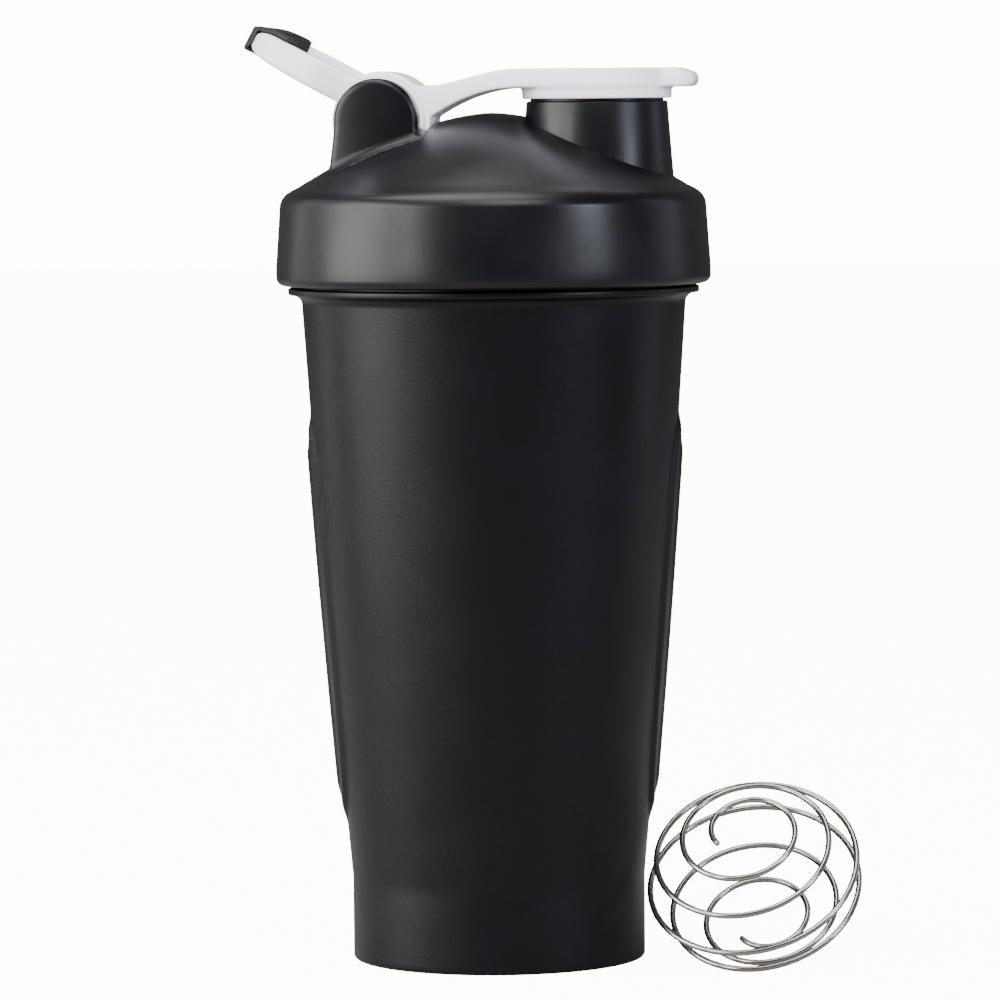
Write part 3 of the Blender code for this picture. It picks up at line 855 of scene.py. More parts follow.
@dataclass
class Lid(SubAssembly):
    """The screw lid with its dome, spout and hinge ears, its seal and its hinge pin."""

    wall: float = 0.0022
    skirt_height: float = 0.0190
    draft: float = 0.0010
    lip_round: float = 0.0020
    shoulder_width: float = 0.0042
    shoulder_rise: float = 0.0036
    shoulder_round: float = 0.0006
    knee_out: float = 0.68
    knee_down: float = 0.36
    dome_rise: float = 0.0168
    dome_power: float = 1.65
    neck_clearance: float = 0.0026
    neck_radius: float = 0.0443
    cup_wall: float = 0.0020
    ring_gap: float = 0.0007
    ring_wall: float = 0.0018
    ring_depth: float = 0.0045
    spout_x: float = 0.0243
    spout_top_radius: float = 0.0162
    spout_draft: float = 0.0015
    spout_rise: float = 0.0193
    spout_lip_radius: float = 0.0153
    spout_lip_height: float = 0.0025
    spout_edge: float = 0.0005
    spout_lip_edge: float = 0.0006
    bore_radius: float = 0.0134
    pin_radius: float = 0.0024
    pin_socket: float = 0.0034
    ear_radius: float = 0.0097
    ear_thickness: float = 0.0050
    ear_splay: float = 7.0
    ear_edge: float = 0.0013
    ear_crown: float = 0.0014
    crown_reach: float = 1.15
    ear_flat: float = 0.0004
    foot_fillet: float = 0.0018
    least_lean: float = 0.2
    ear_voxel: float = 0.00028
    ear_rounds: int = 4
    saddle_radius: float = 0.0121
    saddle_wall: float = 0.0018
    seal_edge: float = 0.0004
    pin_edge: float = 0.0004
    steps: int = 256
    inner_steps: int = 192
    inner_rows: int = 20
    spout_steps: int = 160
    row: float = 0.0016
    skirt_row: float = 0.0030
    thread_row: float = 0.0004

    @property
    def shoulder_z(self) -> float:
        """Height of the top of the skirt."""
        return DATUM.lid_low_z + self.skirt_height

    @property
    def dome_z(self) -> float:
        """Height of the dome's edge."""
        return self.shoulder_z + self.shoulder_rise

    @property
    def dome_radius(self) -> float:
        """Radius of the dome's edge."""
        return DATUM.lid_radius - self.draft - self.shoulder_width

    @property
    def skirt_inner(self) -> float:
        """Inside radius of the skirt."""
        return self.neck_radius + self.neck_clearance

    @property
    def ear_inner_y(self) -> float:
        """Sideways distance to the ears' inner faces."""
        return DATUM.ear_outer_y - self.ear_thickness

    @property
    def spout_shoulder_z(self) -> float:
        """Height of the spout's flat shoulder."""
        return self.dome_z + self.spout_rise

    def dome_height(self, radius: float) -> float:
        """Height of the dome's outside at a radius.

        Args:
            radius: Distance from the axis.

        Returns:
            Height above the table.
        """
        share = min(radius / self.dome_radius, 1.0)
        return self.dome_z + self.dome_rise * (1 - share**self.dome_power)

    def dome_normal(self, place: Vector) -> Vector:
        """Outward direction of the dome's surface.

        Args:
            place: A point above or below the surface.

        Returns:
            The unit normal there.
        """
        radius = max(place.xy.length, MERGE)
        share = min(radius / self.dome_radius, 1.0)
        slope = self.dome_rise * self.dome_power / self.dome_radius
        slope *= share ** (self.dome_power - 1)
        return Vector((slope * place.x / radius, slope * place.y / radius, 1.0)).normalized()

    def outside(self) -> bmesh.types.BMesh:
        """Build the lid filled solid, without its spout and ears.

        Returns:
            The solid.
        """
        low = DATUM.lid_low_z
        outer = DATUM.lid_radius
        points = [(0.0, low)]
        points += arc(outer - self.lip_round, low + self.lip_round, self.lip_round, -90, 0, 8)
        shoulder = outer - self.draft
        bend = (shoulder, self.shoulder_z - self.shoulder_round)
        points += between((outer, low + 2 * self.lip_round), bend, self.skirt_row)
        knee = (
            self.dome_radius + self.knee_out * self.shoulder_width,
            self.dome_z - self.knee_down * self.shoulder_rise,
        )
        crown = (self.dome_radius, self.dome_z)
        points += rounded_run([bend, (shoulder, self.shoulder_z), knee, crown], 5)
        rows = math.ceil(self.dome_radius / self.row)
        radii = [self.dome_radius * (1 - i / rows) for i in range(1, rows + 1)]
        return turned(points + [(r, self.dome_height(r)) for r in radii], self.steps)

    def cavity(self) -> bmesh.types.BMesh:
        """Build the space inside the lid, its wall pushed in where the thread stands.

        Returns:
            The space as a solid.
        """
        low = DATUM.lid_low_z
        ceiling = DATUM.ceiling_z
        ring_outer = self.neck_radius - self.cup_wall - self.ring_gap
        ring_inner = ring_outer - self.ring_wall
        ring_z = DATUM.rim_z - self.ring_depth
        points = [(0.0, low - self.wall), (self.skirt_inner, low - self.wall)]
        points += between((self.skirt_inner, low), (self.skirt_inner, ceiling), self.thread_row)
        points += [(self.skirt_inner, ceiling), (ring_outer, ceiling), (ring_outer, ring_z)]
        points.append((ring_inner, ring_z))
        for i in range(self.inner_rows + 1):
            radius = ring_inner * (1 - i / self.inner_rows)
            share = radius / self.dome_radius
            slope = self.dome_rise * self.dome_power / self.dome_radius
            slope *= share ** (self.dome_power - 1)
            points.append((radius, self.dome_height(radius) - self.wall * math.hypot(1, slope)))
        bm = turned(points, self.inner_steps)
        start = low + THREAD_ROOT / 2 + DATUM.gap
        for vert in bm.verts:
            if abs(vert.co.xy.length - self.skirt_inner) < MERGE and vert.co.z > low - MERGE:
                angle = math.degrees(math.atan2(vert.co.y, vert.co.x)) % 360
                grown = thread_height(angle, vert.co.z, start)
                vert.co.xy *= 1 - grown / self.skirt_inner
        return bm

    def spout(self) -> bmesh.types.BMesh:
        """Build the spout filled solid.

        Returns:
            The solid, with a round shoulder and a lip for the cap.
        """
        low = DATUM.ceiling_z
        high = self.spout_shoulder_z
        run = (high - low) / (high - self.dome_z)
        base = self.spout_top_radius + self.spout_draft * run
        lip_z = high + self.spout_lip_height
        corners = [
            (0.0, low, 0.0), (base, low, 0.0), (self.spout_top_radius, high, self.spout_edge),
            (self.spout_lip_radius, high, 0.0),
            (self.spout_lip_radius, lip_z, self.spout_lip_edge), (0.0, lip_z, 0.0),
        ]
        return turned(rounded(corners), self.spout_steps, (self.spout_x, 0, 0))

    def ear_blank(self, inner: float, outer: float) -> bmesh.types.BMesh:
        """Build one straight hinge ear with soft edges.

        Args:
            inner: Sideways place of its inner face.
            outer: Sideways place of its outer face.

        Returns:
            The ear as a solid that runs down into the dome.
        """
        hinge = DATUM.hinge
        foot = DATUM.ceiling_z
        splay = self.ear_splay
        head = arc(hinge.x, hinge.z, self.ear_radius, -splay, 180 + splay, 48)
        spread = (head[0][1] - foot) * math.tan(math.radians(splay))
        side_view = [(head[0][0] + spread, foot)] + head + [(head[-1][0] - spread, foot)]
        bm = prism(side_view, min(inner, outer), max(inner, outer), False)
        edges = [e for e in bm.edges if all(abs(v.co.y - outer) < MERGE for v in e.verts)]
        bmesh.ops.bevel(
            bm, geom=edges, offset=self.ear_edge, segments=6, profile=BEVEL_PROFILE,
            affect="EDGES", clamp_overlap=True, material=-1,
        )
        return taken(softened(as_object("ear", tidied(bm)), self.ear_voxel, self.ear_rounds))

    def ear(self, side: int) -> bmesh.types.BMesh:
        """Build one hinge ear, crowned outside and flared where it meets the dome.

        Args:
            side: -1 for the near ear and 1 for the far one.

        Returns:
            The ear as a solid that runs down into the dome.
        """
        hinge = DATUM.hinge
        inner = side * self.ear_inner_y
        soft = self.ear_blank(inner, side * DATUM.ear_outer_y)
        soft.normal_update()
        moves = []
        for vert in soft.verts:
            up = self.dome_normal(vert.co)
            above = (vert.co.z - self.dome_height(vert.co.xy.length)) * up.z
            short = 1 - clamped(above / self.foot_fillet)
            away = vert.normal - up * vert.normal.dot(up)
            inside = abs(vert.co.y) < abs(inner) + self.ear_flat
            if short <= 0 or away.length < self.least_lean or inside:
                continue
            swell = self.foot_fillet * (1 - math.sqrt(max(1 - short**2, 0.0)))
            moves.append((vert, away.normalized() * swell))
        for vert in soft.verts:
            across = min(abs(vert.co.x - hinge.x) / (self.ear_radius * self.crown_reach), 1.0)
            depth = ease((abs(vert.co.y) - abs(inner)) / self.ear_thickness)
            vert.co.y += side * self.ear_crown * (1 - across**2) * depth
        for vert, move in moves:
            vert.co += move
        return tidied(soft)

    def drum(self, radius: float, low_y: float, high_y: float, steps: int) -> bmesh.types.BMesh:
        """Build a cylinder along the hinge.

        Args:
            radius: Its radius.
            low_y: Where it starts.
            high_y: Where it ends.
            steps: How many sides it has.

        Returns:
            The cylinder.
        """
        hinge = DATUM.hinge
        return prism(circle(hinge.x, hinge.z, radius, steps), low_y, high_y, False)

    def lid(self) -> bpy.types.Object:
        """Build the lid.

        Returns:
            The lid, hollow and bored.
        """
        lid = as_object("Lid", self.outside())
        combine(lid, Cut.JOIN, self.spout(), self.ear(-1), self.ear(1))
        inner = self.ear_inner_y
        cavity = as_object("cavity", self.cavity())
        guard_y = inner + self.saddle_wall
        guard = self.drum(self.saddle_radius + self.saddle_wall, -guard_y, guard_y, 96)
        hollow = taken(combine(cavity, Cut.CARVE, guard))
        bore = [
            (0.0, DATUM.lid_low_z), (self.bore_radius, DATUM.lid_low_z),
            (self.bore_radius, DATUM.cap_top_z), (0.0, DATUM.cap_top_z),
        ]
        pin_bore = self.drum(
            self.pin_radius + DATUM.gap, -inner - self.pin_socket,
            DATUM.ear_outer_y + self.wall, 48,
        )
        return combine(
            lid, Cut.CARVE, hollow, self.drum(self.saddle_radius, -inner, inner, 96),
            turned(bore, 128, (self.spout_x, 0, 0)), pin_bore,
        )

    def seal(self) -> bpy.types.Object:
        """Build the flat washer with rounded edges.

        Returns:
            The seal.
        """
        inner = self.neck_radius - self.cup_wall - self.ring_gap + DATUM.gap
        outer = self.skirt_inner - DATUM.gap
        low, high, edge = DATUM.seal_low_z, DATUM.seal_high_z, self.seal_edge
        corners = [
            (inner, low, edge), (outer, low, edge), (outer, high, edge), (inner, high, edge)
        ]
        return as_object("Lid_seal", turned(rounded(corners), self.steps))

    def pin(self) -> bpy.types.Object:
        """Build the hinge pin with its chamfered ends.

        Returns:
            The pin.
        """
        low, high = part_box("hinge_pin")
        bm = self.drum(self.pin_radius, low.y, high.y, 48)
        soft_edges(bm, self.pin_edge, 3)
        return as_object("Hinge_pin", bm)

    def build(self) -> list[bpy.types.Object]:
        """Build and dress the lid, its seal and its pin.

        Returns:
            The three pieces.
        """
        return [
            self.dress(self.lid(), LID_FINISH, "lid", "lid", "lid_plastic"),
            self.dress(self.seal(), SILICONE_FINISH, "lid_seal", "lid_seal", "seal_silicone"),
            self.dress(self.pin(), PIN_FINISH, "lid", "hinge_pin", "pin_steel"),
        ]


# ---------------------------------------------------------------- flip cap


@dataclass
class FlipCap(SubAssembly):
    """The white cap: hinge hub, arched arm, round plate, thumb tab, skirt and hollow plug."""

    spout_x: float = 0.0243
    lip_radius: float = 0.0153
    plate_radius: float = 0.0178
    plate_thickness: float = 0.0044
    skirt_wall: float = 0.0015
    skirt_gap: float = 0.0004
    skirt_depth: float = 0.0026
    plug_radius: float = 0.0130
    plug_wall: float = 0.0017
    plug_depth: float = 0.0056
    plug_taper: float = 0.0006
    hollow: float = 0.0024
    tab_length: float = 0.0054
    tab_half_width: float = 0.0085
    tab_thickness: float = 0.0036
    tab_drop: float = 0.0008
    hub_radius: float = 0.0114
    hub_half_width: float = 0.0090
    root_x: float = 0.0120
    root_low: float = 0.0012
    root_high: float = 0.0080
    climb_start: float = 0.1
    flare_angle: float = 50.0
    waist_power: float = 1.6
    pin_radius: float = 0.0024
    steps: int = 128
    voxel: float = 0.00036
    rounds: int = 12

    @property
    def plug_inner(self) -> float:
        """Radius of the hollow in the plug."""
        return self.plug_radius - self.plug_wall

    @property
    def underside_z(self) -> float:
        """Height of the plate's underside."""
        return DATUM.cap_top_z - self.plate_thickness

    def side_view(self) -> list[Point]:
        """Trace the arm, plate and tab from the side.

        Returns:
            The (x, z) outline.
        """
        hinge = DATUM.hinge
        top, under = DATUM.cap_top_z, self.underside_z
        start = hinge.x + self.root_x
        plate_start = self.spout_x - self.plate_radius
        plate_end = self.spout_x + self.plate_radius
        low = [(hinge.x, hinge.z + self.root_low)]
        high = [(hinge.x, hinge.z + self.root_high)]
        rows = 14
        for i in range(rows + 1):
            share = i / rows
            x = start + (plate_start - start) * share
            rise = 1 - (1 - share) ** 2
            low.append((x, hinge.z + self.root_low + (under - hinge.z - self.root_low) * rise))
            climb = ease(self.climb_start + (1 - self.climb_start) * share)
            high.append((x, hinge.z + self.root_high + (top - hinge.z - self.root_high) * climb))
        half = self.tab_thickness / 2
        nose_z = top - half - self.tab_drop
        nose = arc(plate_end + self.tab_length - half, nose_z, half, -90, 70, 14)
        nose.append((plate_end + self.tab_length / 4, top))
        return low + [(plate_end, under)] + nose + high[::-1]

    def plan_view(self) -> list[Point]:
        """Trace the cap from above.

        Returns:
            The (x, y) outline.
        """
        hinge = DATUM.hinge
        flare = math.radians(self.flare_angle)
        flare_x = self.spout_x - self.plate_radius * math.cos(flare)
        flare_y = self.plate_radius * math.sin(flare)
        waist_x = hinge.x + self.hub_radius
        upper = [(hinge.x, self.hub_half_width)]
        rows = 12
        for i in range(rows):
            share = i / rows
            y = self.hub_half_width + (flare_y - self.hub_half_width) * share**self.waist_power
            upper.append((waist_x + (flare_x - waist_x) * share, y))
        tab_angle = math.degrees(math.asin(self.tab_half_width / self.plate_radius))
        upper += arc(self.spout_x, 0, self.plate_radius, 180 - self.flare_angle, tab_angle, 36)
        corner = self.tab_half_width / 2
        tab_end = self.spout_x + self.plate_radius + self.tab_length
        upper += arc(tab_end - corner, self.tab_half_width - corner, corner, 90, 0, 10)
        return upper + [(x, -y) for x, y in upper[::-1]]

    def skirt(self) -> bmesh.types.BMesh:
        """Build the ring that grips the spout's lip."""
        inner = self.lip_radius + self.skirt_gap
        outer = inner + self.skirt_wall
        low = self.underside_z - self.skirt_depth
        high = self.underside_z + self.hollow / 2
        outline = [(inner, low), (outer, low), (outer, high), (inner, high)]
        return turned(outline, self.steps, (self.spout_x, 0, 0))

    def plug(self) -> bmesh.types.BMesh:
        """Build the tapered ring that fills the spout's bore."""
        low = self.underside_z - self.plug_depth
        high = self.underside_z + self.hollow / 2
        outline = [
            (self.plug_inner, low), (self.plug_radius - self.plug_taper, low),
            (self.plug_radius, self.underside_z - self.plug_depth / 4),
            (self.plug_radius, high), (self.plug_inner, high),
        ]
        return turned(outline, self.steps, (self.spout_x, 0, 0))

    def plug_hollow(self) -> bmesh.types.BMesh:
        """Build the space inside the plug."""
        low = self.underside_z - self.plug_depth - OVERCUT
        high = self.underside_z + self.hollow
        outline = [(0.0, low), (self.plug_inner, low), (self.plug_inner, high), (0.0, high)]
        return turned(outline, self.steps, (self.spout_x, 0, 0))

    def build(self) -> list[bpy.types.Object]:
        """Build and dress the cap.

        Returns:
            The cap alone.
        """
        hinge = DATUM.hinge
        reach = 2 * self.plate_radius
        cap = as_object("Flip_cap", prism(self.side_view(), -reach, reach, False))
        combine(cap, Cut.KEEP, prism(self.plan_view(), hinge.z - PAST, hinge.z + PAST, True))
        hub = prism(
            circle(hinge.x, hinge.z, self.hub_radius, 96),
            -self.hub_half_width, self.hub_half_width, False,
        )
        combine(cap, Cut.JOIN, hub, self.skirt(), self.plug())
        combine(cap, Cut.CARVE, self.plug_hollow())
        softened(cap, self.voxel, self.rounds)
        bore = circle(hinge.x, hinge.z, self.pin_radius + DATUM.gap, 48)
        combine(cap, Cut.CARVE, prism(bore, -PAST, PAST, False))
        return [self.dress(cap, WHITE_FINISH, "flip_cap", "flip_cap", "white_plastic")]


# ---------------------------------------------------------------- carry loop


@dataclass
class CarryLoop(SubAssembly):
    """The white loop on its two eyelets and the soft grip round its end."""

    lean: float = 28.0
    reach: float = 0.0360
    half_width: float = 0.0155
    band: float = 0.0030
    top_root: float = 0.0067
    top_tip: float = 0.0060
    low_root: float = -0.0010
    low_tip: float = 0.0
    tip_round: float = 0.0055
    tip_drop: float = 0.45
    tip_fullness: float = 0.98
    straight: float = 0.0100
    arm_row: float = 0.0020
    widen_end: float = 0.0200
    eyelet_inner_y: float = 0.0093
    eyelet_width: float = 0.0030
    eyelet_radius: float = 0.0104
    pin_radius: float = 0.0024
    grip_skin: float = 0.0010
    grip_start: float = 0.0258
    wrap_half_width: float = 0.0040
    wrap_taper: float = 1.5
    grip_corner: float = 0.0005
    grip_voxel: float = 0.0002
    grip_rounds: int = 3
    corner: float = 0.0009
    voxel: float = 0.00028
    rounds: int = 4

    def path(self) -> list[Point]:
        """Trace the middle of the band from one arm round to the other.

        Returns:
            Points as (reach, sideways).
        """
        arm_y = self.eyelet_inner_y + self.eyelet_width / 2
        wide_y = self.half_width - self.band / 2
        tip = self.reach - self.band / 2
        half = between((0.0, arm_y), (self.straight, arm_y), self.arm_row)
        rows = 12
        for i in range(rows):
            share = i / rows
            x = self.straight + (self.widen_end - self.straight) * share
            half.append((x, arm_y + (wide_y - arm_y) * ease(share)))
        bend = tip - self.widen_end
        turn = 28
        for i in range(turn):
            angle = math.pi / 2 * i / turn
            half.append((self.widen_end + bend * math.sin(angle), wide_y * math.cos(angle)))
        return half + [(tip, 0.0)] + [(x, -y) for x, y in half[::-1]]

    def place(self, reach: float, sideways: float, height: float) -> Vector:
        """Turn a place in the loop's own plane into one in the frame.

        Args:
            reach: Distance from the hinge along the loop.
            sideways: Distance across it.
            height: Distance above its plane.

        Returns:
            The point.
        """
        lean = math.radians(self.lean)
        x = DATUM.hinge.x - reach * math.cos(lean) + height * math.sin(lean)
        z = DATUM.hinge.z + reach * math.sin(lean) + height * math.cos(lean)
        return Vector((x, sideways, z))

    def edges(self, reach: float) -> Point:
        """Lower and upper edge of the band at a reach.

        Args:
            reach: Distance from the hinge along the loop.

        Returns:
            The two heights above the loop's plane.
        """
        share = reach / self.reach
        low = self.low_root + (self.low_tip - self.low_root) * share
        high = self.top_root + (self.top_tip - self.top_root) * share
        near_tip = clamped(1 - (self.reach - self.band / 2 - reach) / self.tip_round)
        fall = 1 - math.sqrt(1 - self.tip_fullness * near_tip**2)
        drop = self.tip_round * self.tip_drop * fall
        return low + drop / 2, high - drop

    def ribbon(
        self,
        path: Sequence[Point],
        section: Callable[[float, float], tuple[float, float, float, float]],
        corner: float,
    ) -> bmesh.types.BMesh:
        """Sweep a rounded four-sided section along the loop.

        Args:
            path: The middle line.
            section: Gives (outer, inner, low, high) at a place of the middle line.
            corner: Radius of the section's corners.

        Returns:
            The swept solid.
        """
        stations = []
        for i, (x, y) in enumerate(path):
            before = Vector(path[max(i - 1, 0)])
            after = Vector(path[min(i + 1, len(path) - 1)])
            along = (after - before).normalized()
            outer, inner, low, high = section(x, y)
            square = ((-outer, low), (inner, low), (inner, high), (-outer, high))
            ring = rounded([(*spot, corner) for spot in square], 4)
            stations.append([
                self.place(x + along.y * side, y - along.x * side, height)
                for side, height in ring
            ])
        return swept(stations)

    def loop(self) -> bpy.types.Object:
        """Build the white loop.

        Returns:
            The loop with its eyelets.
        """
        half = self.band / 2
        hinge = DATUM.hinge
        loop = as_object("Carry_loop", self.ribbon(
            self.path(), lambda x, y: (half, half, *self.edges(x)), self.corner))
        eyelet = circle(hinge.x, hinge.z, self.eyelet_radius, 96)
        for side in (-1, 1):
            ends = side * self.eyelet_inner_y, side * (self.eyelet_inner_y + self.eyelet_width)
            combine(loop, Cut.JOIN, prism(eyelet, min(ends), max(ends), False))
        softened(loop, self.voxel, self.rounds)
        hole = circle(hinge.x, hinge.z, self.pin_radius + DATUM.gap, 48)
        return combine(loop, Cut.CARVE, prism(hole, -PAST, PAST, False))

    def grip(self) -> bpy.types.Object:
        """Build the soft grip: a strip along the arms that wraps the loop's end.

        Returns:
            The grip.
        """
        half = self.band / 2
        gap = DATUM.gap
        skin = gap + self.grip_skin

        def sleeve(x: float, y: float) -> tuple[float, float, float, float]:
            """Section of the grip filled solid."""
            low, high = self.edges(x)
            wrap = ease(self.wrap_taper - abs(y) / self.wrap_half_width)
            below = -skin * wrap + half * (1 - wrap)
            return half + skin * wrap, half + skin, low + below, high + skin

        def clearance(x: float, y: float) -> tuple[float, float, float, float]:
            """Section of the room that the loop's band needs."""
            low, high = self.edges(x)
            return half + gap, half + gap, low - gap, high + gap

        path = [point for point in self.path() if point[0] > self.grip_start]
        longer = [point for point in self.path() if point[0] > self.straight]
        grip = as_object("Loop_grip", self.ribbon(path, sleeve, self.grip_corner))
        combine(grip, Cut.CARVE, self.ribbon(longer, clearance, 0.0))
        return softened(grip, self.grip_voxel, self.grip_rounds)

    def build(self) -> list[bpy.types.Object]:
        """Build and dress the loop and its grip.

        Returns:
            The two pieces.
        """
        return [
            self.dress(self.loop(), WHITE_FINISH, "carry_loop", "carry_loop", "white_plastic"),
            self.dress(self.grip(), RUBBER_FINISH, "carry_loop", "loop_grip", "grip_rubber"),
        ]


# ---------------------------------------------------------------- whisk ball


@dataclass
class WhiskBall(SubAssembly):
    """The mixing ball, wound from one wire with open ends."""

    radius: float = 0.0252
    half_height: float = 0.0171
    wire: float = 0.0007
    turns: float = 5.992
    phase: float = 312.5
    pole_angle: float = 16.9
    bunching: float = 7.0
    lean: float = 41.3
    bearing: float = -97.5
    steps_per_turn: int = 56
    sides: int = 4
    tip_angles: tuple[float, ...] = (12.0, 32.0, 52.0, 71.0, 90.0)

    def route(self) -> list[Vector]:
        """Wind the wire's middle line from pole to pole.

        Returns:
            The points, resting on the table at the frame's place.
        """
        radius = self.radius - self.wire
        height = self.half_height - self.wire
        tilt = Matrix.Rotation(math.radians(self.bearing), 3, "Z")
        tilt = tilt @ Matrix.Rotation(math.radians(self.lean), 3, "Y")
        steps = round(self.turns * self.steps_per_turn)
        points = []
        for i in range(steps + 1):
            share = i / steps
            even = self.pole_angle + (180 - 2 * self.pole_angle) * share
            polar = math.radians(even - self.bunching * math.sin(math.tau * share))
            spin = math.radians(self.phase) - math.tau * self.turns * share
            flat = radius * math.sin(polar)
            points.append(tilt @ Vector(
                (flat * math.cos(spin), flat * math.sin(spin), height * math.cos(polar))))
        low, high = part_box("whisk_ball")
        middle = (low + high) / 2
        lowest = [min(p[axis] for p in points) for axis in range(3)]
        highest = [max(p[axis] for p in points) for axis in range(3)]
        centre = Vector([(a + b) / 2 for a, b in zip(lowest, highest)])
        return [point - centre + middle for point in points]

    def with_round_ends(self, points: list[Vector]) -> list[tuple[Vector, float]]:
        """Round off both ends of the wire.

        Args:
            points: The wire's middle line.

        Returns:
            Each point with its share of the wire's radius.
        """
        angles = [math.radians(angle) for angle in self.tip_angles]

        def tip(end: Vector, inside: Vector) -> list[tuple[Vector, float]]:
            """Narrow the wire to a ball end."""
            inward = (inside - end).normalized() * self.wire
            return [(end + inward * (1 - math.cos(a)), math.sin(a)) for a in angles]

        start = tip(points[0], points[1])
        finish = tip(points[-1], points[-2])
        return start + [(point, 1.0) for point in points[1:-1]] + finish[::-1]

    def build(self) -> list[bpy.types.Object]:
        """Build and dress the ball.

        Returns:
            The ball alone.
        """
        curve = bpy.data.curves.new("Whisk_ball", "CURVE")
        curve.dimensions = "3D"
        curve.bevel_depth = self.wire
        curve.bevel_resolution = self.sides
        curve.use_fill_caps = True
        points = self.with_round_ends(self.route())
        spline = curve.splines.new("POLY")
        spline.points.add(len(points) - 1)
        for slot, (point, share) in zip(spline.points, points):
            slot.co = (*point, 1)
            slot.radius = share
        ball = show(bpy.data.objects.new("Whisk_ball", curve))
        graph = bpy.context.evaluated_depsgraph_get()
        mesh = bpy.data.meshes.new_from_object(ball.evaluated_get(graph), depsgraph=graph)
        bpy.data.objects.remove(ball, do_unlink=True)
        piece = show(bpy.data.objects.new("Whisk_ball", mesh))
        return [self.dress(piece, WIRE_FINISH, "whisk_ball", "whisk_ball", "whisk_steel")]


# ---------------------------------------------------------------- studio


@dataclass(frozen=True)
class Lamp:
    """A soft rectangular lamp, turned to a point of the bottle's axis."""

    name: str
    place: tuple[float, float, float]
    aim_z: float
    size: tuple[float, float]
    radiance: float
    tint: tuple[float, float, float] = (1.0, 1.0, 1.0)

    def hang(self) -> bpy.types.Object:
        """Hang the lamp in the scene.

        Returns:
            The lamp.
        """
        light = bpy.data.lights.new(self.name, "AREA")
        light.shape = "RECTANGLE"
        light.size, light.size_y = self.size
        light.energy = math.pi * self.size[0] * self.size[1] * self.radiance
        light.color = self.tint
        lamp = show(bpy.data.objects.new(self.name, light))
        lamp.location = self.place
        away = Vector((0, 0, self.aim_z)) - Vector(self.place)
        lamp.rotation_euler = away.to_track_quat("-Z", "Y").to_euler()
        lamp.visible_camera = False
        return lamp


WHITE = (1.0, 1.0, 1.0, 1.0)
BOUNCE_CARD = Lamp("bounce card", (0.2, -1.0, 0.35), 0.2, (1.2, 0.9), 6.5)
LAMPS = (
    Lamp("left lamp", (-1.05, -0.40, 0.40), 0.11, (0.8, 1.1), 6.5),
    Lamp("left strip", (-0.72, -0.92, 0.45), 0.13, (0.22, 0.7), 9.0),
    Lamp("top lamp", (-0.2, -0.1, 1.3), 0.15, (0.9, 0.9), 5.0),
    Lamp("front lamp", (0.25, -0.85, 1.15), 0.2, (0.6, 0.5), 7.0),
    Lamp("right lamp", (1.0, -0.6, 0.45), 0.15, (0.28, 0.4), 12.0, (0.82, 0.85, 1.0)),
    Lamp("left rim", (-1.0, 0.45, 0.30), 0.12, (0.3, 0.9), 1.6),
    Lamp("right rim", (1.0, 0.45, 0.30), 0.12, (0.3, 0.9), 1.2, (0.85, 0.87, 1.0)),
)


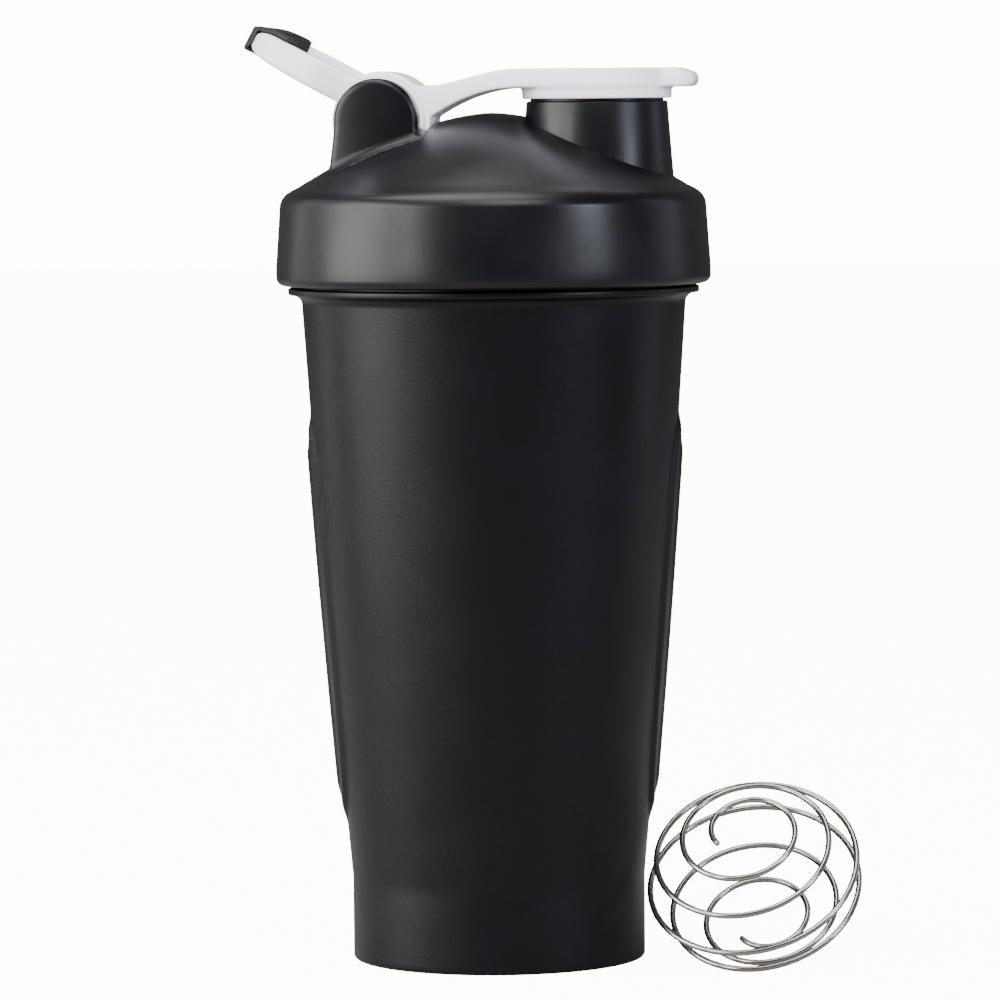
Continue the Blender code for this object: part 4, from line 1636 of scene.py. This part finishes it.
@dataclass
class Studio:
    """Pale floor, white surroundings, soft lamps and the camera."""

    distance: float = 1.40
    azimuth: float = 7.5
    height: float = 0.197
    dip: float = 3.72
    roll: float = -0.52
    lens: float = 218.6
    shift_x: float = 0.0044
    floor_size: float = 12.0
    floor_colour: tuple[float, float, float, float] = (0.4, 0.4, 0.4, 1.0)
    floor_roughness: float = 0.7
    floor_specular: float = 0.1
    floor_glow: float = 13.0
    backdrop: float = 14.0
    fill: float = 0.15

    def floor(self) -> None:
        """Lay the pale floor."""
        bm = bmesh.new()
        bmesh.ops.create_grid(bm, x_segments=1, y_segments=1, size=self.floor_size / 2)
        floor = as_object("Floor", bm)
        material = bpy.data.materials.new("pale floor")
        material.use_nodes = True
        shader = material.node_tree.nodes["Principled BSDF"]
        shader.inputs["Base Color"].default_value = self.floor_colour
        shader.inputs["Roughness"].default_value = self.floor_roughness
        shader.inputs["Specular IOR Level"].default_value = self.floor_specular
        shader.inputs["Emission Color"].default_value = WHITE
        seen = material.node_tree.nodes.new("ShaderNodeLightPath").outputs["Is Camera Ray"]
        glow = material.node_tree.nodes.new("ShaderNodeMapRange")
        glow.inputs["To Max"].default_value = self.floor_glow
        material.node_tree.links.new(seen, glow.inputs["Value"])
        material.node_tree.links.new(glow.outputs["Result"], shader.inputs["Emission Strength"])
        floor.data.materials.append(material)

    def surroundings(self) -> None:
        """Light the world: bright behind the object, softer as a source of light."""
        world = bpy.data.worlds.new("studio")
        world.use_nodes = True
        tree = world.node_tree
        background = tree.nodes["Background"]
        background.inputs["Color"].default_value = WHITE
        seen = tree.nodes.new("ShaderNodeLightPath").outputs["Is Camera Ray"]
        strength = tree.nodes.new("ShaderNodeMapRange")
        strength.inputs["To Min"].default_value = self.fill
        strength.inputs["To Max"].default_value = self.backdrop
        tree.links.new(seen, strength.inputs["Value"])
        tree.links.new(strength.outputs["Result"], background.inputs["Strength"])
        bpy.context.scene.world = world

    def bounce(self, pieces: Iterable[bpy.types.Object]) -> None:
        """Stand a reflector that only the pale pieces catch.

        Args:
            pieces: The pale pieces.
        """
        caught = bpy.data.collections.new("pale pieces")
        for piece in pieces:
            caught.objects.link(piece)
        BOUNCE_CARD.hang().light_linking.receiver_collection = caught

    def camera(self) -> None:
        """Stand the camera."""
        turn = math.radians(self.azimuth)
        data = bpy.data.cameras.new("camera")
        data.lens = self.lens
        data.shift_x = self.shift_x
        camera = show(bpy.data.objects.new("camera", data))
        camera.location = (
            self.distance * math.sin(turn), -self.distance * math.cos(turn), self.height
        )
        pose = Matrix.Rotation(turn, 4, "Z")
        pose = pose @ Matrix.Rotation(math.radians(90 - self.dip), 4, "X")
        pose = pose @ Matrix.Rotation(math.radians(self.roll), 4, "Z")
        camera.rotation_euler = pose.to_euler()
        bpy.context.scene.camera = camera

    def build(self, pale: Iterable[bpy.types.Object]) -> None:
        """Set up the whole studio.

        Args:
            pale: The pale pieces, which a reflector lifts.
        """
        self.bounce(pale)
        self.floor()
        self.surroundings()
        for lamp in LAMPS:
            lamp.hang()
        self.camera()


def main() -> None:
    """Build every sub-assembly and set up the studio."""
    logging.basicConfig(level=logging.INFO, format="%(name)s: %(message)s")
    pale = []
    for group in (Cup(), Lid(), FlipCap(), CarryLoop(), WhiskBall()):
        for piece in group.build():
            LOG.info("%s has %d faces", piece.name, len(piece.data.polygons))
            if piece.data.materials[0].name == WHITE_FINISH.name:
                pale.append(piece)
    Studio().build(pale)


if __name__ == "__main__":
    main()
